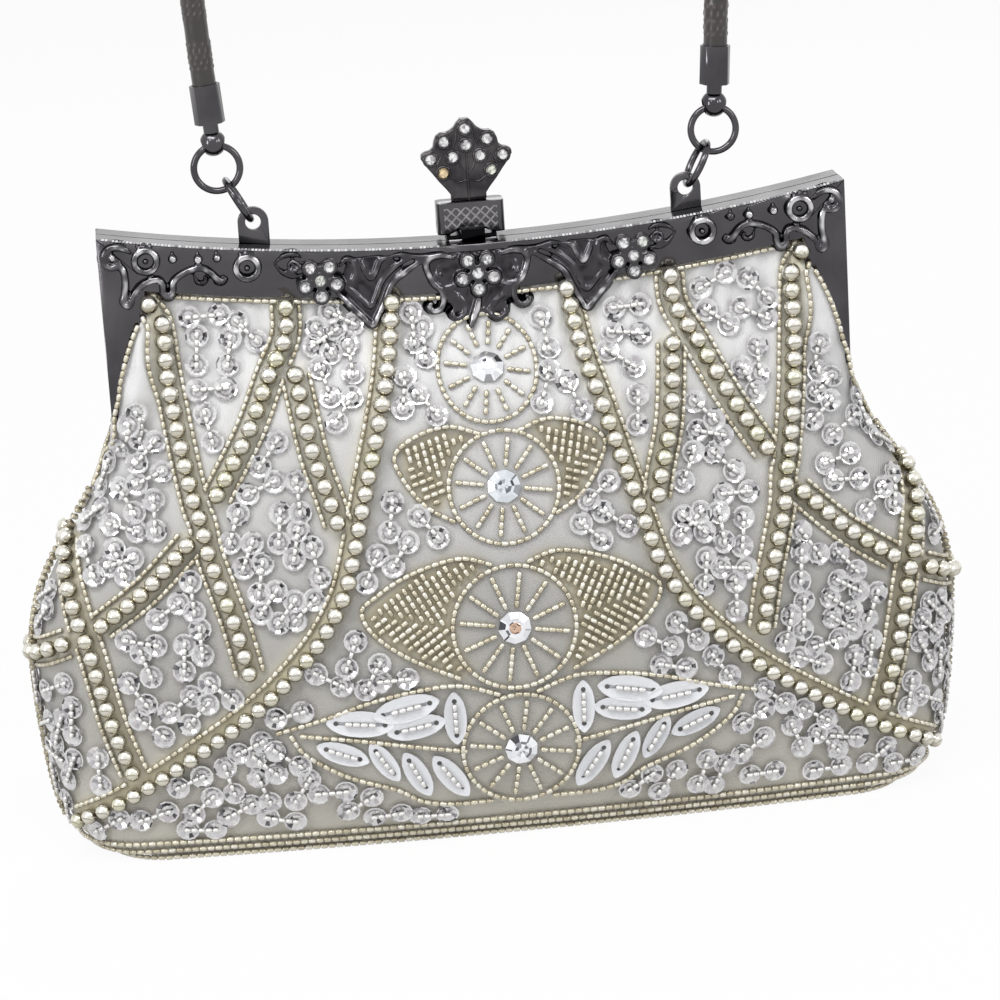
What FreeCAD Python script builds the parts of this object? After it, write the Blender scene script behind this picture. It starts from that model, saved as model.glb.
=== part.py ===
import FreeCAD, Part
import math
import os
import re
from FreeCAD import Placement, Rotation, Vector

# Kiss lock frame purse: a beaded bag in a hinged metal frame with a tilting clasp and a cord handle.
# Millimetres. +X is the wearer's right as the front is seen, the front faces -Y, +Z is up.
# The origin is the middle of the base, on the surface that the bag stands on.
doc = FreeCAD.newDocument("frame_purse")
sheet = doc.addObject("Spreadsheet::Sheet", "Sizes")
places = doc.addObject("Spreadsheet::Sheet", "Places")

# Driving dimensions
SIZES = (
    ("bag_width", 208, "filled bag across its widest"),
    ("bag_depth", 54, "filled bag front to back at its fullest"),
    ("hinge_height", 91, "hinge axis above the base"),
    ("rim_drop", 7, "rim of the lower panels below the hinge"),
    ("panel_wall", 1.4, "beaded satin with its backing"),
    ("lining_wall", 0.7, "lining cloth"),
    ("layer_gap", 0.3, "between layers of cloth"),
    ("base_wall", 1.2, "base cloth"),
    ("stiffener_wall", 1.5, "board in the base"),
    ("neck_rise", 9, "lining's mouth above the hinge"),
    ("neck_drop", 3, "lining's waist below the hinge"),
    ("neck_clearance", 1.2, "room round the lining's neck"),
    ("frame_width", 165, "frame across its arms"),
    ("frame_height", 50, "frame's top corners above the hinge"),
    ("frame_dip", 7.8, "fall of the bar's top edge to its middle"),
    ("frame_depth", 6.3, "one half, front to back"),
    ("halves_gap", 0.4, "between the closed halves"),
    ("frame_wall", 0.9, "sheet of the channel"),
    ("bar_height", 10.5, "face of the top bar"),
    ("arm_width", 9.5, "face of an arm"),
    ("arm_rise", 6, "foot of the arms above the hinge"),
    ("wedge_height", 3, "paper cord that wedges the cloth"),
    ("ear_radius", 3.4, "hinge ear round its rivet"),
    ("ear_lap", 4, "ear up the arm"),
    ("ear_gap", 0.06, "between the ears of the two halves"),
    ("rivet_radius", 1.2, "hinge rivet's shank"),
    ("rivet_head_radius", 2.2, "hinge rivet's head"),
    ("rivet_head_height", 0.8, "hinge rivet's head"),
    ("pivot_clearance", 0.05, "radial, round every pin"),
    ("notch_width", 10.4, "clasp notch in the front bar"),
    ("notch_depth", 4.7, "clasp notch, front to back"),
    ("notch_drop", 2.2, "clasp notch below the bar's top"),
    ("catch_width", 9.8, "catch plate in the notch"),
    ("catch_height", 6.6, "catch plate"),
    ("catch_wall", 0.9, "catch plate"),
    ("catch_drop", 0.4, "catch plate's edge below the bar's top"),
    ("collar_width", 15, "clasp collar"),
    ("collar_depth", 6, "clasp collar"),
    ("collar_height", 7, "clasp collar"),
    ("collar_wall", 1.1, "clasp collar"),
    ("collar_corner", 1.5, "rounded upright edges of the collar"),
    ("collar_lift", 1.1, "collar above the back bar's top"),
    ("collar_rear_rise", 2.7, "foot of the collar's rear wall above its other feet"),
    ("arch_width", 10, "arch in the foot of the collar's front"),
    ("arch_rise", 1.2, "arch in the foot of the collar's front"),
    ("nose_width", 5.2, "hook's nose"),
    ("nose_reach", 3.2, "hook's nose ahead of the collar"),
    ("nose_height", 1.3, "hook's nose"),
    ("nose_lift", 0.3, "hook's nose above the collar's foot"),
    ("barb_length", 0.7, "hook's barb, front to back"),
    ("barb_clearance", 0.2, "between the barb and the catch"),
    ("bracket_width", 11.2, "clasp bracket"),
    ("bracket_wall", 1, "clasp bracket's lugs"),
    ("bracket_floor", 0.6, "clasp bracket's foot"),
    ("bracket_depth", 4.4, "clasp bracket's foot, front to back"),
    ("bracket_seat", 0.05, "solder under the bracket's foot"),
    ("lug_radius", 1.1, "round top of a bracket lug"),
    ("pin_radius", 0.7, "clasp pin"),
    ("pin_setback", 3.4, "clasp pin behind the collar's front"),
    ("pin_rise", 2.1, "clasp pin above the collar's foot"),
    ("spring_wall", 0.3, "leaf spring"),
    ("spring_width", 6, "leaf spring"),
    ("spring_gap", 0.1, "between the leaf and the collar's rear foot"),
    ("knob_width", 21.2, "shell knob across its lobes"),
    ("knob_height", 18.7, "shell knob above the collar"),
    ("knob_wall", 2.4, "shell knob front to back"),
    ("knob_neck", 8, "shell knob's neck"),
    ("lobe_radius", 2.6, "lobes on the shell's edge"),
    ("fan_radius", 7.6, "web of the shell behind its lobes"),
    ("knob_stone_radius", 1.35, "stones on the shell"),
    ("stone_radius", 1.45, "stones on the front bar"),
    ("stone_height", 0.9, "stones above their seats"),
    ("eyelet_spacing", 96, "eyelets, centre to centre"),
    ("eyelet_rise", 4.9, "eyelet's hole above the bar's top"),
    ("eyelet_radius", 3.4, "eyelet's round top"),
    ("eyelet_hole_radius", 1.7, "eyelet's hole"),
    ("eyelet_wall", 1, "eyelet's plate"),
    ("wire_radius", 0.775, "wire of the rings"),
    ("ring_lean", 29, "outward lean of the eyelet rings, degrees"),
    ("eyelet_ring_radius", 5.05, "eyelet ring at its wire's middle"),
    ("handle_ring_radius", 5.03, "handle ring at its wire's middle"),
    ("link_gap", 0.12, "between linked rings"),
    ("ferrule_lean", 4, "outward lean of the ferrules, degrees"),
    ("ball_radius", 2.9, "ball on the ferrule's end"),
    ("ball_offset", 0.6, "ball's middle above its drilled hole"),
    ("ball_hole_radius", 1.65, "hole drilled through the ball"),
    ("neck_radius", 1.7, "ferrule's neck"),
    ("neck_length", 4.4, "from the ball's middle to the ferrule's tube"),
    ("ferrule_radius", 3.35, "ferrule's tube across its corners"),
    ("ferrule_length", 8.6, "ferrule's tube"),
    ("socket_depth", 6.4, "cord's socket in the ferrule"),
    ("cord_radius", 2.75, "handle cord"),
    ("socket_clearance", 0.05, "round the cord in its socket"),
    ("relief_low", 0.7, "ground strip of the front ornament"),
    ("relief_high", 1.4, "raised scrolls of the front ornament"),
    ("relief_hang", 2, "parts that hang below the bar"),
    ("boss_radius", 3.1, "ring bosses of the ornament"),
    ("boss_hollow", 1.7, "hollow of a ring boss"),
    ("bead_radius", 1.2, "beads of the ornament"),
    ("flower_radius", 5.1, "flower plates that seat the stones"),
    ("petal_ring", 3.6, "stones round the middle of a flower"),
    ("loop_radius", 3, "loops beside the middle flower"),
    ("pearl_radius", 2, "pearls sewn in strings on the panels"),
    ("string_lift", 0.5, "strings of pearls off the cloth"),
    ("overrun", 1, "extra length of every cut"),
)

# Places that follow from the driving dimensions
PLACES = (
    ("half_width", "frame_width / 2"),
    ("rim_height", "hinge_height - rim_drop"),
    ("arm_foot", "hinge_height + arm_rise"),
    ("frame_top", "hinge_height + frame_height"),
    ("bar_middle", "hinge_height + frame_height - frame_dip"),
    ("half_inner", "halves_gap / 2"),
    ("half_outer", "halves_gap / 2 + frame_depth"),
    ("arc_radius", "((frame_width / 2) ^ 2 + frame_dip ^ 2) / (2 * frame_dip)"),
    ("arc_centre", "bar_middle + arc_radius"),
    ("eyelet_foot", "arc_centre - sqrt(arc_radius ^ 2 - (eyelet_spacing / 2) ^ 2)"),
    ("eyelet_height", "eyelet_foot + eyelet_rise"),
    ("eyelet_plane", "halves_gap / 2 + eyelet_wall / 2"),
    ("eyelet_ring_reach", "eyelet_hole_radius - wire_radius - link_gap + eyelet_ring_radius"),
    ("eyelet_ring_x", "eyelet_spacing / 2 + eyelet_ring_reach * sin(ring_lean * 1 deg)"),
    ("eyelet_ring_z", "eyelet_height + eyelet_ring_reach * cos(ring_lean * 1 deg)"),
    ("link_reach", "eyelet_ring_radius - 2 * wire_radius - link_gap"),
    ("fold_x", "eyelet_ring_x + link_reach * sin(ring_lean * 1 deg)"),
    ("fold_z", "eyelet_ring_z + link_reach * cos(ring_lean * 1 deg)"),
    ("handle_ring_x", "fold_x + handle_ring_radius * sin(ring_lean * 1 deg)"),
    ("handle_ring_z", "fold_z + handle_ring_radius * cos(ring_lean * 1 deg)"),
    ("tilt_x", "handle_ring_x + handle_ring_radius * sin(ferrule_lean * 1 deg)"),
    ("tilt_z", "handle_ring_z + handle_ring_radius * cos(ferrule_lean * 1 deg)"),
    ("collar_front", "halves_gap / 2"),
    ("collar_foot", "bar_middle + collar_lift"),
    ("collar_top", "collar_foot + collar_height"),
    ("pin_y", "halves_gap / 2 + pin_setback"),
    ("pin_z", "collar_foot + pin_rise"),
    ("bracket_foot", "bar_middle + bracket_seat"),
    ("knob_plane", "halves_gap / 2 + collar_depth / 2"),
)


def fill(target, row, alias, text):
    """One named cell of a sheet."""
    target.set(f"A{row}", alias)
    target.set(f"B{row}", text)
    target.setAlias(f"B{row}", alias)


def cell(text):
    """An expression on sheet names, written as references to the two sheets."""
    owner = {alias: "Sizes" for alias, _, _ in SIZES}
    owner.update({alias: "Places" for alias, _ in PLACES})
    return re.sub(r"[a-z]\w*", lambda word: owned(word.group(), owner), text)


def owned(word, owner):
    """A sheet name with its sheet in front, or the word as it is."""
    return f"{owner[word]}.{word}" if word in owner else word


def size(alias):
    """The present value of a driving dimension or a place."""
    home = places if alias in dict(PLACES) else sheet
    return float(home.get(alias))


for row, (alias, number, note) in enumerate(SIZES, start=1):
    fill(sheet, row, alias, str(number))
    sheet.set(f"C{row}", note)
doc.recompute()
for row, (alias, formula) in enumerate(PLACES, start=1):
    fill(places, row, alias, "=" + cell(formula).replace("Places.", ""))
    doc.recompute()

SIDES = (("left", -1), ("right", 1))
pieces = []


def keep(piece, label):
    """Name a finished sub-part and list it for writing."""
    piece.Label = label
    pieces.append(piece)
    return piece


def shaped(label, shape):
    """A sub-part whose shape is made with Part's own functions."""
    piece = doc.addObject("Part::Feature", label)
    piece.Shape = shape
    return keep(piece, label)


def primitive(kind, name, at=(), turn=None, **sizes):
    """A Part primitive with its sizes and its place bound to the sheets."""
    piece = doc.addObject("Part::" + kind, name)
    if turn is not None:
        piece.Placement = Placement(Vector(), turn)
    for prop, text in sizes.items():
        piece.setExpression(prop, cell(text))
    for axis, text in zip("xyz", at):
        piece.setExpression("Placement.Base." + axis, cell(text))
    return piece


def fused(name, *members):
    piece = doc.addObject("Part::MultiFuse", name)
    piece.Shapes = list(members)
    piece.Refine = True
    return piece


def cut(name, base, tool):
    piece = doc.addObject("Part::Cut", name)
    piece.Base = base
    piece.Tool = tool
    return piece


ALONG_X = Rotation(Vector(0, 1, 0), 90)
ALONG_Y = Rotation(Vector(1, 0, 0), -90)


# Bag: the filled body is a stack of ovals, wide at the middle and drawn in to the frame.
# Each oval is four arcs: a long one in front and behind, and a tight one at each end.
# Lower ovals are shares of the rim's height, the bag's width and the bag's depth,
# and the radius of their ends is a share of their own half depth.
LOWER_HEIGHT_SHARES = (0, 0.02, 0.06, 0.12, 0.2, 0.32, 0.45, 0.58, 0.7, 0.8, 0.9, 1)
LOWER_WIDTH_SHARES = (0.846, 0.9, 0.942, 0.966, 0.981, 0.992, 1, 1, 0.981, 0.945, 0.894, 0.843)
LOWER_DEPTH_SHARES = (0.63, 0.68, 0.755, 0.84, 0.92, 0.975, 1, 0.99, 0.95, 0.895, 0.82, 0.74)
LOWER_END_SHARES = (0.85, 0.82, 0.78, 0.72, 0.66, 0.6, 0.56, 0.54, 0.52, 0.5, 0.5, 0.5)
# Upper ovals are shares of the arms' height, the frame's width and the bag's depth.
# The last two stand in the channel's mouth, so their depths are shares of the channel's reach.
UPPER_HEIGHT_SHARES = (0, 0.06, 0.114, 0.19, 0.273, 0.35, 0.43, 0.58, 0.8)
UPPER_WIDTH_SHARES = (0.994, 0.97, 0.945, 0.925, 0.91, 0.903, 0.9, 0.9, 0.9)
UPPER_DEPTH_SHARES = (0.648, 0.615, 0.56, 0.478, 0.385, 0.315, 0.26)
CHANNEL_SHARES = (1, 0.82)
UPPER_END_SHARES = (0.5, 0.5, 0.52, 0.56, 0.62, 0.7, 0.8, 0.9, 0.9)
NECK_END_SHARE = 0.5
CLOSE_SHARE = 0.015


def lower_ovals():
    """Height, half width, half depth and end share of each oval from the base to the rim."""
    table = zip(LOWER_HEIGHT_SHARES, LOWER_WIDTH_SHARES, LOWER_DEPTH_SHARES, LOWER_END_SHARES)
    return [
        (up * size("rim_height"), wide * size("bag_width") / 2, deep * size("bag_depth") / 2, end)
        for up, wide, deep, end in table
    ]


def upper_ovals():
    """The same for each oval from the arms' feet into the channel."""
    foot = size("arm_foot")
    climb = size("frame_top") - foot
    reach = size("half_outer") - size("frame_wall")
    depths = [share * size("bag_depth") / 2 for share in UPPER_DEPTH_SHARES]
    depths += [share * reach for share in CHANNEL_SHARES]
    return [
        (foot + up * climb, wide * size("half_width"), deep, end)
        for up, wide, deep, end in zip(UPPER_HEIGHT_SHARES, UPPER_WIDTH_SHARES, depths, UPPER_END_SHARES)
    ]


def girth(ovals, height):
    """Half width, half depth and end share at a height, between the ovals above and below it."""
    for low, high in zip(ovals, ovals[1:]):
        if height <= high[0]:
            along = (height - low[0]) / (high[0] - low[0])
            return tuple(a + along * (b - a) for a, b in zip(low[1:], high[1:]))
    return ovals[-1][1:]


def oval_arcs(half_width, half_depth, end_share):
    """Radius and middle of the end arc, setback of the long arc, and the turn where they meet."""
    end = end_share * half_depth
    end_x = half_width - end
    slack = half_depth - end
    # The long arc's middle lies this far behind the oval's own, where both arcs share a tangent.
    setback = (end_x ** 2 - slack ** 2) / (2 * slack)
    return end, end_x, setback, math.atan2(end_x, setback)


def oval_wire(oval, inset):
    """Four tangent arcs at the oval's height, drawn in by inset all round."""
    height, half_width, half_depth, end_share = oval
    end, end_x, setback, meet = oval_arcs(half_width, half_depth, end_share)
    end_radius = end - inset
    meet_x = end_x + end_radius * math.sin(meet)
    meet_y = end_radius * math.cos(meet)
    tip_x = end_x + end_radius
    crown = half_depth - inset

    def at(x, y):
        return Vector(x, y, height)

    arcs = (
        Part.Arc(at(-meet_x, -meet_y), at(0, -crown), at(meet_x, -meet_y)),
        Part.Arc(at(meet_x, -meet_y), at(tip_x, 0), at(meet_x, meet_y)),
        Part.Arc(at(meet_x, meet_y), at(0, crown), at(-meet_x, meet_y)),
        Part.Arc(at(-meet_x, meet_y), at(-tip_x, 0), at(-meet_x, -meet_y)),
    )
    return Part.Wire([arc.toShape() for arc in arcs])


def oval_loft(ovals, inset):
    """A solid through the ovals, straight from each to the next, each drawn in by inset."""
    return Part.makeLoft([oval_wire(oval, inset) for oval in ovals], True, True)


def half_space(side, clear):
    """A box over all of the front (side -1) or back (side 1), clear of the middle plane."""
    span = size("bag_width")
    tall = size("frame_top") + span
    low = clear if side > 0 else -clear - span
    return Part.makeBox(2 * span, span, 2 * tall, Vector(-span, low, -tall))


def starting_at(ovals, height):
    """One oval at a height and those above it, without any that lies too close."""
    above = height + CLOSE_SHARE * size("rim_height")
    return [(height, *girth(ovals, height))] + [oval for oval in ovals if oval[0] > above]


lower = lower_ovals()
upper = upper_ovals()
panel_wall = size("panel_wall")
lining_inset = panel_wall + size("layer_gap")
lining_inner = lining_inset + size("lining_wall")

# Lower panels: front and back halves of the beaded body, sewn together at the sides
lower_shell = oval_loft(lower, 0).cut(oval_loft(lower, panel_wall))
shaped("front_panel_lower", lower_shell.common(half_space(-1, 0)))
shaped("back_panel_lower", lower_shell.common(half_space(1, 0)))

# Base: an oval of cloth inside the panels' bottom edge, with a board on it
def slab(name, thickness, height):
    """The lowest oval, inside the panels, raised to a flat plate."""
    outline = Part.Face(oval_wire(lower[0], lining_inset))
    outline.translate(Vector(0, 0, height))
    shaped(name, outline.extrude(Vector(0, 0, thickness)))


slab("base_panel", size("base_wall"), 0)
slab("base_stiffener", size("stiffener_wall"), size("base_wall"))

# Lining: a pouch inside the panels, whose neck narrows past the hinges into the frame's mouth,
# cut as a front and a back and sewn together at the sides
floor = size("base_wall") + size("stiffener_wall") + size("layer_gap")
pouch_ovals = starting_at(lower, floor)
inside_ovals = starting_at(lower, floor + size("lining_wall"))
neck_top = size("hinge_height") + size("neck_rise")
clear = size("neck_clearance")
# The neck's ovals are taken outside the lining's inset, as the bag's own are.
spare = clear - lining_inset
inside_hinges = size("half_width") - 2 * size("frame_wall") - size("rivet_head_height") - spare
inside_arms = size("half_width") - size("arm_width") - spare
foot_depth = girth(upper, size("arm_foot"))[1] - lining_inner - spare
mouth_depth = girth(upper, neck_top)[1] - lining_inner - spare
neck_ovals = [
    lower[-1],
    (size("hinge_height") - size("neck_drop"), inside_hinges, foot_depth, NECK_END_SHARE),
    (size("arm_foot") - clear, inside_arms, foot_depth, NECK_END_SHARE),
    (neck_top, inside_arms, mouth_depth, NECK_END_SHARE),
]
pouch = oval_loft(pouch_ovals, lining_inset).cut(oval_loft(inside_ovals, lining_inner))
neck = oval_loft(neck_ovals, lining_inset).cut(oval_loft(neck_ovals, lining_inner))
lining_shell = pouch.fuse(neck).removeSplitter()
shaped("front_lining_lower", lining_shell.common(half_space(-1, 0)))
shaped("back_lining_lower", lining_shell.common(half_space(1, 0)))


# Frame: two halves of folded sheet, each a channel bent into an upside-down U
def arch(x, inset):
    """Height of the bar's dipping top edge at x, moved inwards by inset."""
    return size("arc_centre") - math.sqrt((size("arc_radius") + inset) ** 2 - x ** 2)


def hoop(outer, inner, foot, near, far):
    """An upside-down U between two (side, top) insets of the outline, from y near to y far."""

    def edge_points(side_inset, top_inset):
        x = size("half_width") - side_inset
        shoulder = arch(x, top_inset)
        middle = Vector(0, near, arch(0, top_inset))
        left = (Vector(-x, near, foot), Vector(-x, near, shoulder))
        return (*left, middle, Vector(x, near, shoulder), Vector(x, near, foot))

    a, b, c, d, e = edge_points(*outer)
    j, i, h, g, f = edge_points(*inner)
    edges = [
        Part.makeLine(a, b), Part.Arc(b, c, d).toShape(), Part.makeLine(d, e), Part.makeLine(e, f),
        Part.makeLine(f, g), Part.Arc(g, h, i).toShape(), Part.makeLine(i, j), Part.makeLine(j, a),
    ]
    return Part.Face(Part.Wire(edges)).extrude(Vector(0, far - near, 0))


def span_of(side, inset=0):
    """Lowest and highest y of one half, drawn in by inset."""
    low, high = sorted((side * size("half_inner"), side * size("half_outer")))
    return low + inset, high - inset


def frame_block(side):
    """One half of the frame with its channel filled."""
    return hoop((0, 0), (size("arm_width"), size("bar_height")), size("arm_foot"), *span_of(side))


def ear(side, end, inner_x, outer_x):
    """Hinge ear of one arm: a plate from the arm's foot down round the rivet."""
    near, far = side * size("half_inner"), side * size("half_outer")
    foot, hinge = size("arm_foot"), size("hinge_height")
    round_to = side * size("ear_radius")
    lap = foot + size("ear_lap")
    corners = ((near, lap), (far, lap), (far, foot), (round_to, hinge), (-round_to, hinge), (near, foot))
    points = [Vector(inner_x, y, z) for y, z in corners]
    thick = Vector(outer_x - inner_x, 0, 0)
    plate = Part.Face(Part.makePolygon(points + points[:1])).extrude(thick)
    eye = Part.makeCylinder(size("ear_radius"), thick.x, Vector(inner_x, 0, hinge), Vector(1, 0, 0))
    plate = plate.fuse(eye)
    return plate if end > 0 else plate.mirror(Vector(), Vector(1, 0, 0))


def frame_half(side, ear_inner, ear_outer):
    """One folded half with its two ears, drilled for the hinge rivets."""
    wall = size("frame_wall")
    past = size("overrun")
    mouth = (size("arm_width") + past, size("bar_height") + past)
    channel = hoop((wall, wall), mouth, size("arm_foot") - past, *span_of(side, wall))
    half = frame_block(side).cut(channel)
    for _, end in SIDES:
        half = half.fuse(ear(side, end, ear_inner, ear_outer))
    bore = size("rivet_radius") + size("pivot_clearance")
    width = size("frame_width") + 2 * past
    start = Vector(-width / 2, 0, size("hinge_height"))
    return half.cut(Part.makeCylinder(bore, width, start, Vector(1, 0, 0))).removeSplitter()


web = size("half_width") - size("frame_wall")
front_channel = frame_half(-1, web + size("ear_gap"), size("half_width"))
notch = Part.makeBox(
    size("notch_width"),
    size("notch_depth") + size("overrun"),
    size("notch_drop") + size("overrun"),
    Vector(
        -size("notch_width") / 2,
        -size("half_inner") - size("notch_depth"),
        size("bar_middle") - size("notch_drop"),
    ),
)
shaped("front_frame", front_channel.cut(notch))
shaped("back_frame", frame_half(1, web - size("frame_wall"), web))

# Paper cords: wedged into the mouth of each channel to hold the edge of the cloth
for label, side in (("front_channel_cord", -1), ("back_channel_cord", 1)):
    high = (size("arm_width") - size("wedge_height"), size("bar_height") - size("wedge_height"))
    low = (size("arm_width"), size("bar_height"))
    shaped(label, hoop(high, low, size("arm_foot"), *span_of(side, size("frame_wall"))))

# Upper panels and linings: cloth that is held in each half's channel and swings with it
upper_body = oval_loft(upper, 0)
upper_panel = upper_body.cut(oval_loft(upper, panel_wall))
upper_lining = oval_loft(upper, lining_inset).cut(oval_loft(upper, lining_inner))
for label, side in (("front", -1), ("back", 1)):
    block = frame_block(side)
    room = half_space(side, size("half_inner"))
    shaped(f"{label}_panel_upper", upper_panel.common(room).cut(block))
    shaped(f"{label}_lining_upper", upper_lining.common(room).cut(block))

# Hinge rivets: headed at both ends, fast in the front half's ears and free in the back half's
for name, end in SIDES:
    start = "half_width - 2 * frame_wall - pivot_clearance"
    turn = ALONG_X if end > 0 else ALONG_X.inverted()
    levels = (
        ("shank", "rivet_radius", "2 * frame_wall + pivot_clearance", start),
        ("inner_head", "rivet_head_radius", "rivet_head_height", f"{start} - rivet_head_height"),
        ("outer_head", "rivet_head_radius", "rivet_head_height", "half_width"),
    )
    members = [
        primitive("Cylinder", f"{level}_{name}", (f"{end} * ({at})", "0", "hinge_height"), turn,
                  Radius=radius, Height=length)
        for level, radius, length, at in levels
    ]
    keep(fused(f"rivet_{name}", *members), f"hinge_rivet_{name}")

# Clasp catch: a plate soldered inside the front half, whose edge shows in the notch
catch = primitive(
    "Box", "catch_plate",
    ("-catch_width / 2", "-half_inner - frame_wall - catch_wall", "bar_middle - catch_drop - catch_height"),
    Length="catch_width", Width="catch_wall", Height="catch_height",
)
keep(catch, "clasp_catch")

# Clasp bracket: a foot soldered on the back half, with two lugs that carry the pin
bracket_foot = primitive(
    "Box", "bracket_plate",
    ("-bracket_width / 2", "pin_y - bracket_depth / 2", "bracket_foot"),
    Length="bracket_width", Width="bracket_depth", Height="bracket_floor",
)
bracket_members = [bracket_foot]
for name, end in SIDES:
    lug_x = "-bracket_width / 2" if end < 0 else "bracket_width / 2 - bracket_wall"
    bracket_members.append(primitive(
        "Box", f"lug_{name}", (lug_x, "pin_y - lug_radius", "bracket_foot"),
        Length="bracket_wall", Width="2 * lug_radius", Height="pin_z - bracket_foot",
    ))
    bracket_members.append(primitive(
        "Cylinder", f"lug_top_{name}", (lug_x, "pin_y", "pin_z"), ALONG_X,
        Radius="lug_radius", Height="bracket_wall",
    ))
pin_bore = primitive(
    "Cylinder", "pin_bore", ("-collar_width / 2 - overrun", "pin_y", "pin_z"), ALONG_X,
    Radius="pin_radius + pivot_clearance", Height="collar_width + 2 * overrun",
)
keep(cut("bracket", fused("bracket_blank", *bracket_members), pin_bore), "clasp_bracket")

# Clasp pin: a plain wire pin that the collar tilts on
pin = primitive(
    "Cylinder", "pin", ("-collar_width / 2", "pin_y", "pin_z"), ALONG_X,
    Radius="pin_radius", Height="collar_width",
)
keep(pin, "clasp_pin")

# Clasp spring: a bent leaf on the bracket's foot that holds the collar's rear wall up
spring_foot = primitive(
    "Box", "spring_foot",
    ("-spring_width / 2", "pin_y - lug_radius", "bracket_foot + bracket_floor"),
    Length="spring_width", Height="spring_wall",
    Width="collar_front + collar_depth - collar_wall / 2 + spring_wall / 2 - pin_y + lug_radius",
)
spring_leaf = primitive(
    "Box", "spring_leaf",
    ("-spring_width / 2", "collar_front + collar_depth - collar_wall / 2 - spring_wall / 2",
     "bracket_foot + bracket_floor"),
    Length="spring_width", Width="spring_wall",
    Height="collar_foot + collar_rear_rise - spring_gap - bracket_foot - bracket_floor",
)
keep(fused("spring", spring_foot, spring_leaf), "clasp_spring")

# Clasp collar: a hollow box with a hook under its arched front, tilting on the pin
collar_box = primitive(
    "Box", "collar_box", ("-collar_width / 2", "collar_front", "collar_foot"),
    Length="collar_width", Width="collar_depth", Height="collar_height",
)
doc.recompute()
collar_round = doc.addObject("Part::Fillet", "collar_round")
collar_round.Base = collar_box
upright = [
    number for number, edge in enumerate(collar_box.Shape.Edges, start=1)
    if abs(edge.tangentAt(edge.FirstParameter).z) == 1
]
collar_round.Edges = [(number, size("collar_corner"), size("collar_corner")) for number in upright]
collar_hollow = primitive(
    "Box", "collar_hollow",
    ("-collar_width / 2 + collar_wall", "collar_front + collar_wall", "collar_foot - overrun"),
    Length="collar_width - 2 * collar_wall", Width="collar_depth - 2 * collar_wall",
    Height="collar_height - collar_wall + overrun",
)
rear_gap = primitive(
    "Box", "rear_gap",
    ("-collar_width / 2 + collar_wall", "collar_front + collar_depth / 2", "collar_foot - overrun"),
    Length="collar_width - 2 * collar_wall", Width="collar_depth / 2 + overrun",
    Height="collar_rear_rise + overrun",
)
arch_sag = "((arch_width / 2) ^ 2 + arch_rise ^ 2) / (2 * arch_rise)"
front_arch = primitive(
    "Cylinder", "front_arch",
    ("0", "collar_front - overrun", f"collar_foot + arch_rise - {arch_sag}"), ALONG_Y,
    Radius=arch_sag, Height="collar_wall + 2 * overrun",
)
collar_cuts = fused("collar_cuts", collar_hollow, rear_gap, front_arch)
hook_nose = primitive(
    "Box", "hook_nose",
    ("-nose_width / 2", "collar_front - nose_reach", "collar_foot + nose_lift"),
    Length="nose_width", Width="nose_reach + collar_wall", Height="nose_height",
)
barb_foot = "bar_middle - catch_drop + barb_clearance"
hook_barb = primitive(
    "Box", "hook_barb", ("-nose_width / 2", "collar_front - nose_reach", barb_foot),
    Length="nose_width", Width="barb_length", Height=f"collar_foot + nose_lift + nose_height - ({barb_foot})",
)
collar_blank = cut("collar_blank", collar_round, collar_cuts)
collar_hooked = fused("collar_hooked", collar_blank, hook_nose, hook_barb)
keep(cut("collar", collar_hooked, pin_bore), "clasp_collar")


# Clasp knob: a cast fan shell with five lobes, set with stones
# Places are shares of the knob's half width and of its height above the collar.
LOBE_SHARES = ((0.755, 0.518), (0.45, 0.72), (0, 0.861))
SHOULDER_SHARES = ((0.81, 0.39),)
INNER_STONE_SHARES = ((0, 0.663), (0.29, 0.529), (0.5, 0.348))
FAN_SHARE = 0.49
TABLE_SHARE = 0.62


def knob_point(share_x, share_z, y):
    half = size("knob_width") / 2
    return Vector(share_x * half, y, size("collar_top") + share_z * size("knob_height"))


def both_ways(shares):
    """Each place with its mirror image, the ones on the middle line once."""
    mirrored = [(-x, *rest) for x, *rest in shares if x]
    return [*shares, *mirrored]


def knob_shape():
    rear = size("knob_plane") + size("knob_wall") / 2
    thick = Vector(0, -size("knob_wall"), 0)
    neck_half = size("knob_neck") / 2
    neck_height = size("collar_top") + size("knob_neck") / 2
    right = [Vector(neck_half, rear, size("collar_top")), Vector(neck_half, rear, neck_height)]
    right += [knob_point(x, z, rear) for x, z in (*SHOULDER_SHARES, *LOBE_SHARES)]
    left = [Vector(-point.x, point.y, point.z) for point in reversed(right[:-1])]
    outline = right + left
    body = Part.Face(Part.makePolygon(outline + outline[:1])).extrude(thick)
    body = body.fuse(Part.makeCylinder(
        size("fan_radius"), size("knob_wall"), knob_point(0, FAN_SHARE, rear), thick))
    for x, z in both_ways(LOBE_SHARES):
        lobe = Part.makeCylinder(size("lobe_radius"), size("knob_wall"), knob_point(x, z, rear), thick)
        body = body.fuse(lobe)
    return body.removeSplitter()


def stone(radius, seat):
    """A cut stone on its seat, facing the front: a girdle with a flat table."""
    return Part.makeCone(radius, radius * TABLE_SHARE, size("stone_height"), seat, Vector(0, -1, 0))


shaped("clasp_knob", knob_shape())
knob_face = size("knob_plane") - size("knob_wall") / 2
shaped("clasp_knob_stones", Part.makeCompound([
    stone(size("knob_stone_radius"), knob_point(x, z, knob_face))
    for x, z in both_ways((*LOBE_SHARES, *INNER_STONE_SHARES))
]))

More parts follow.
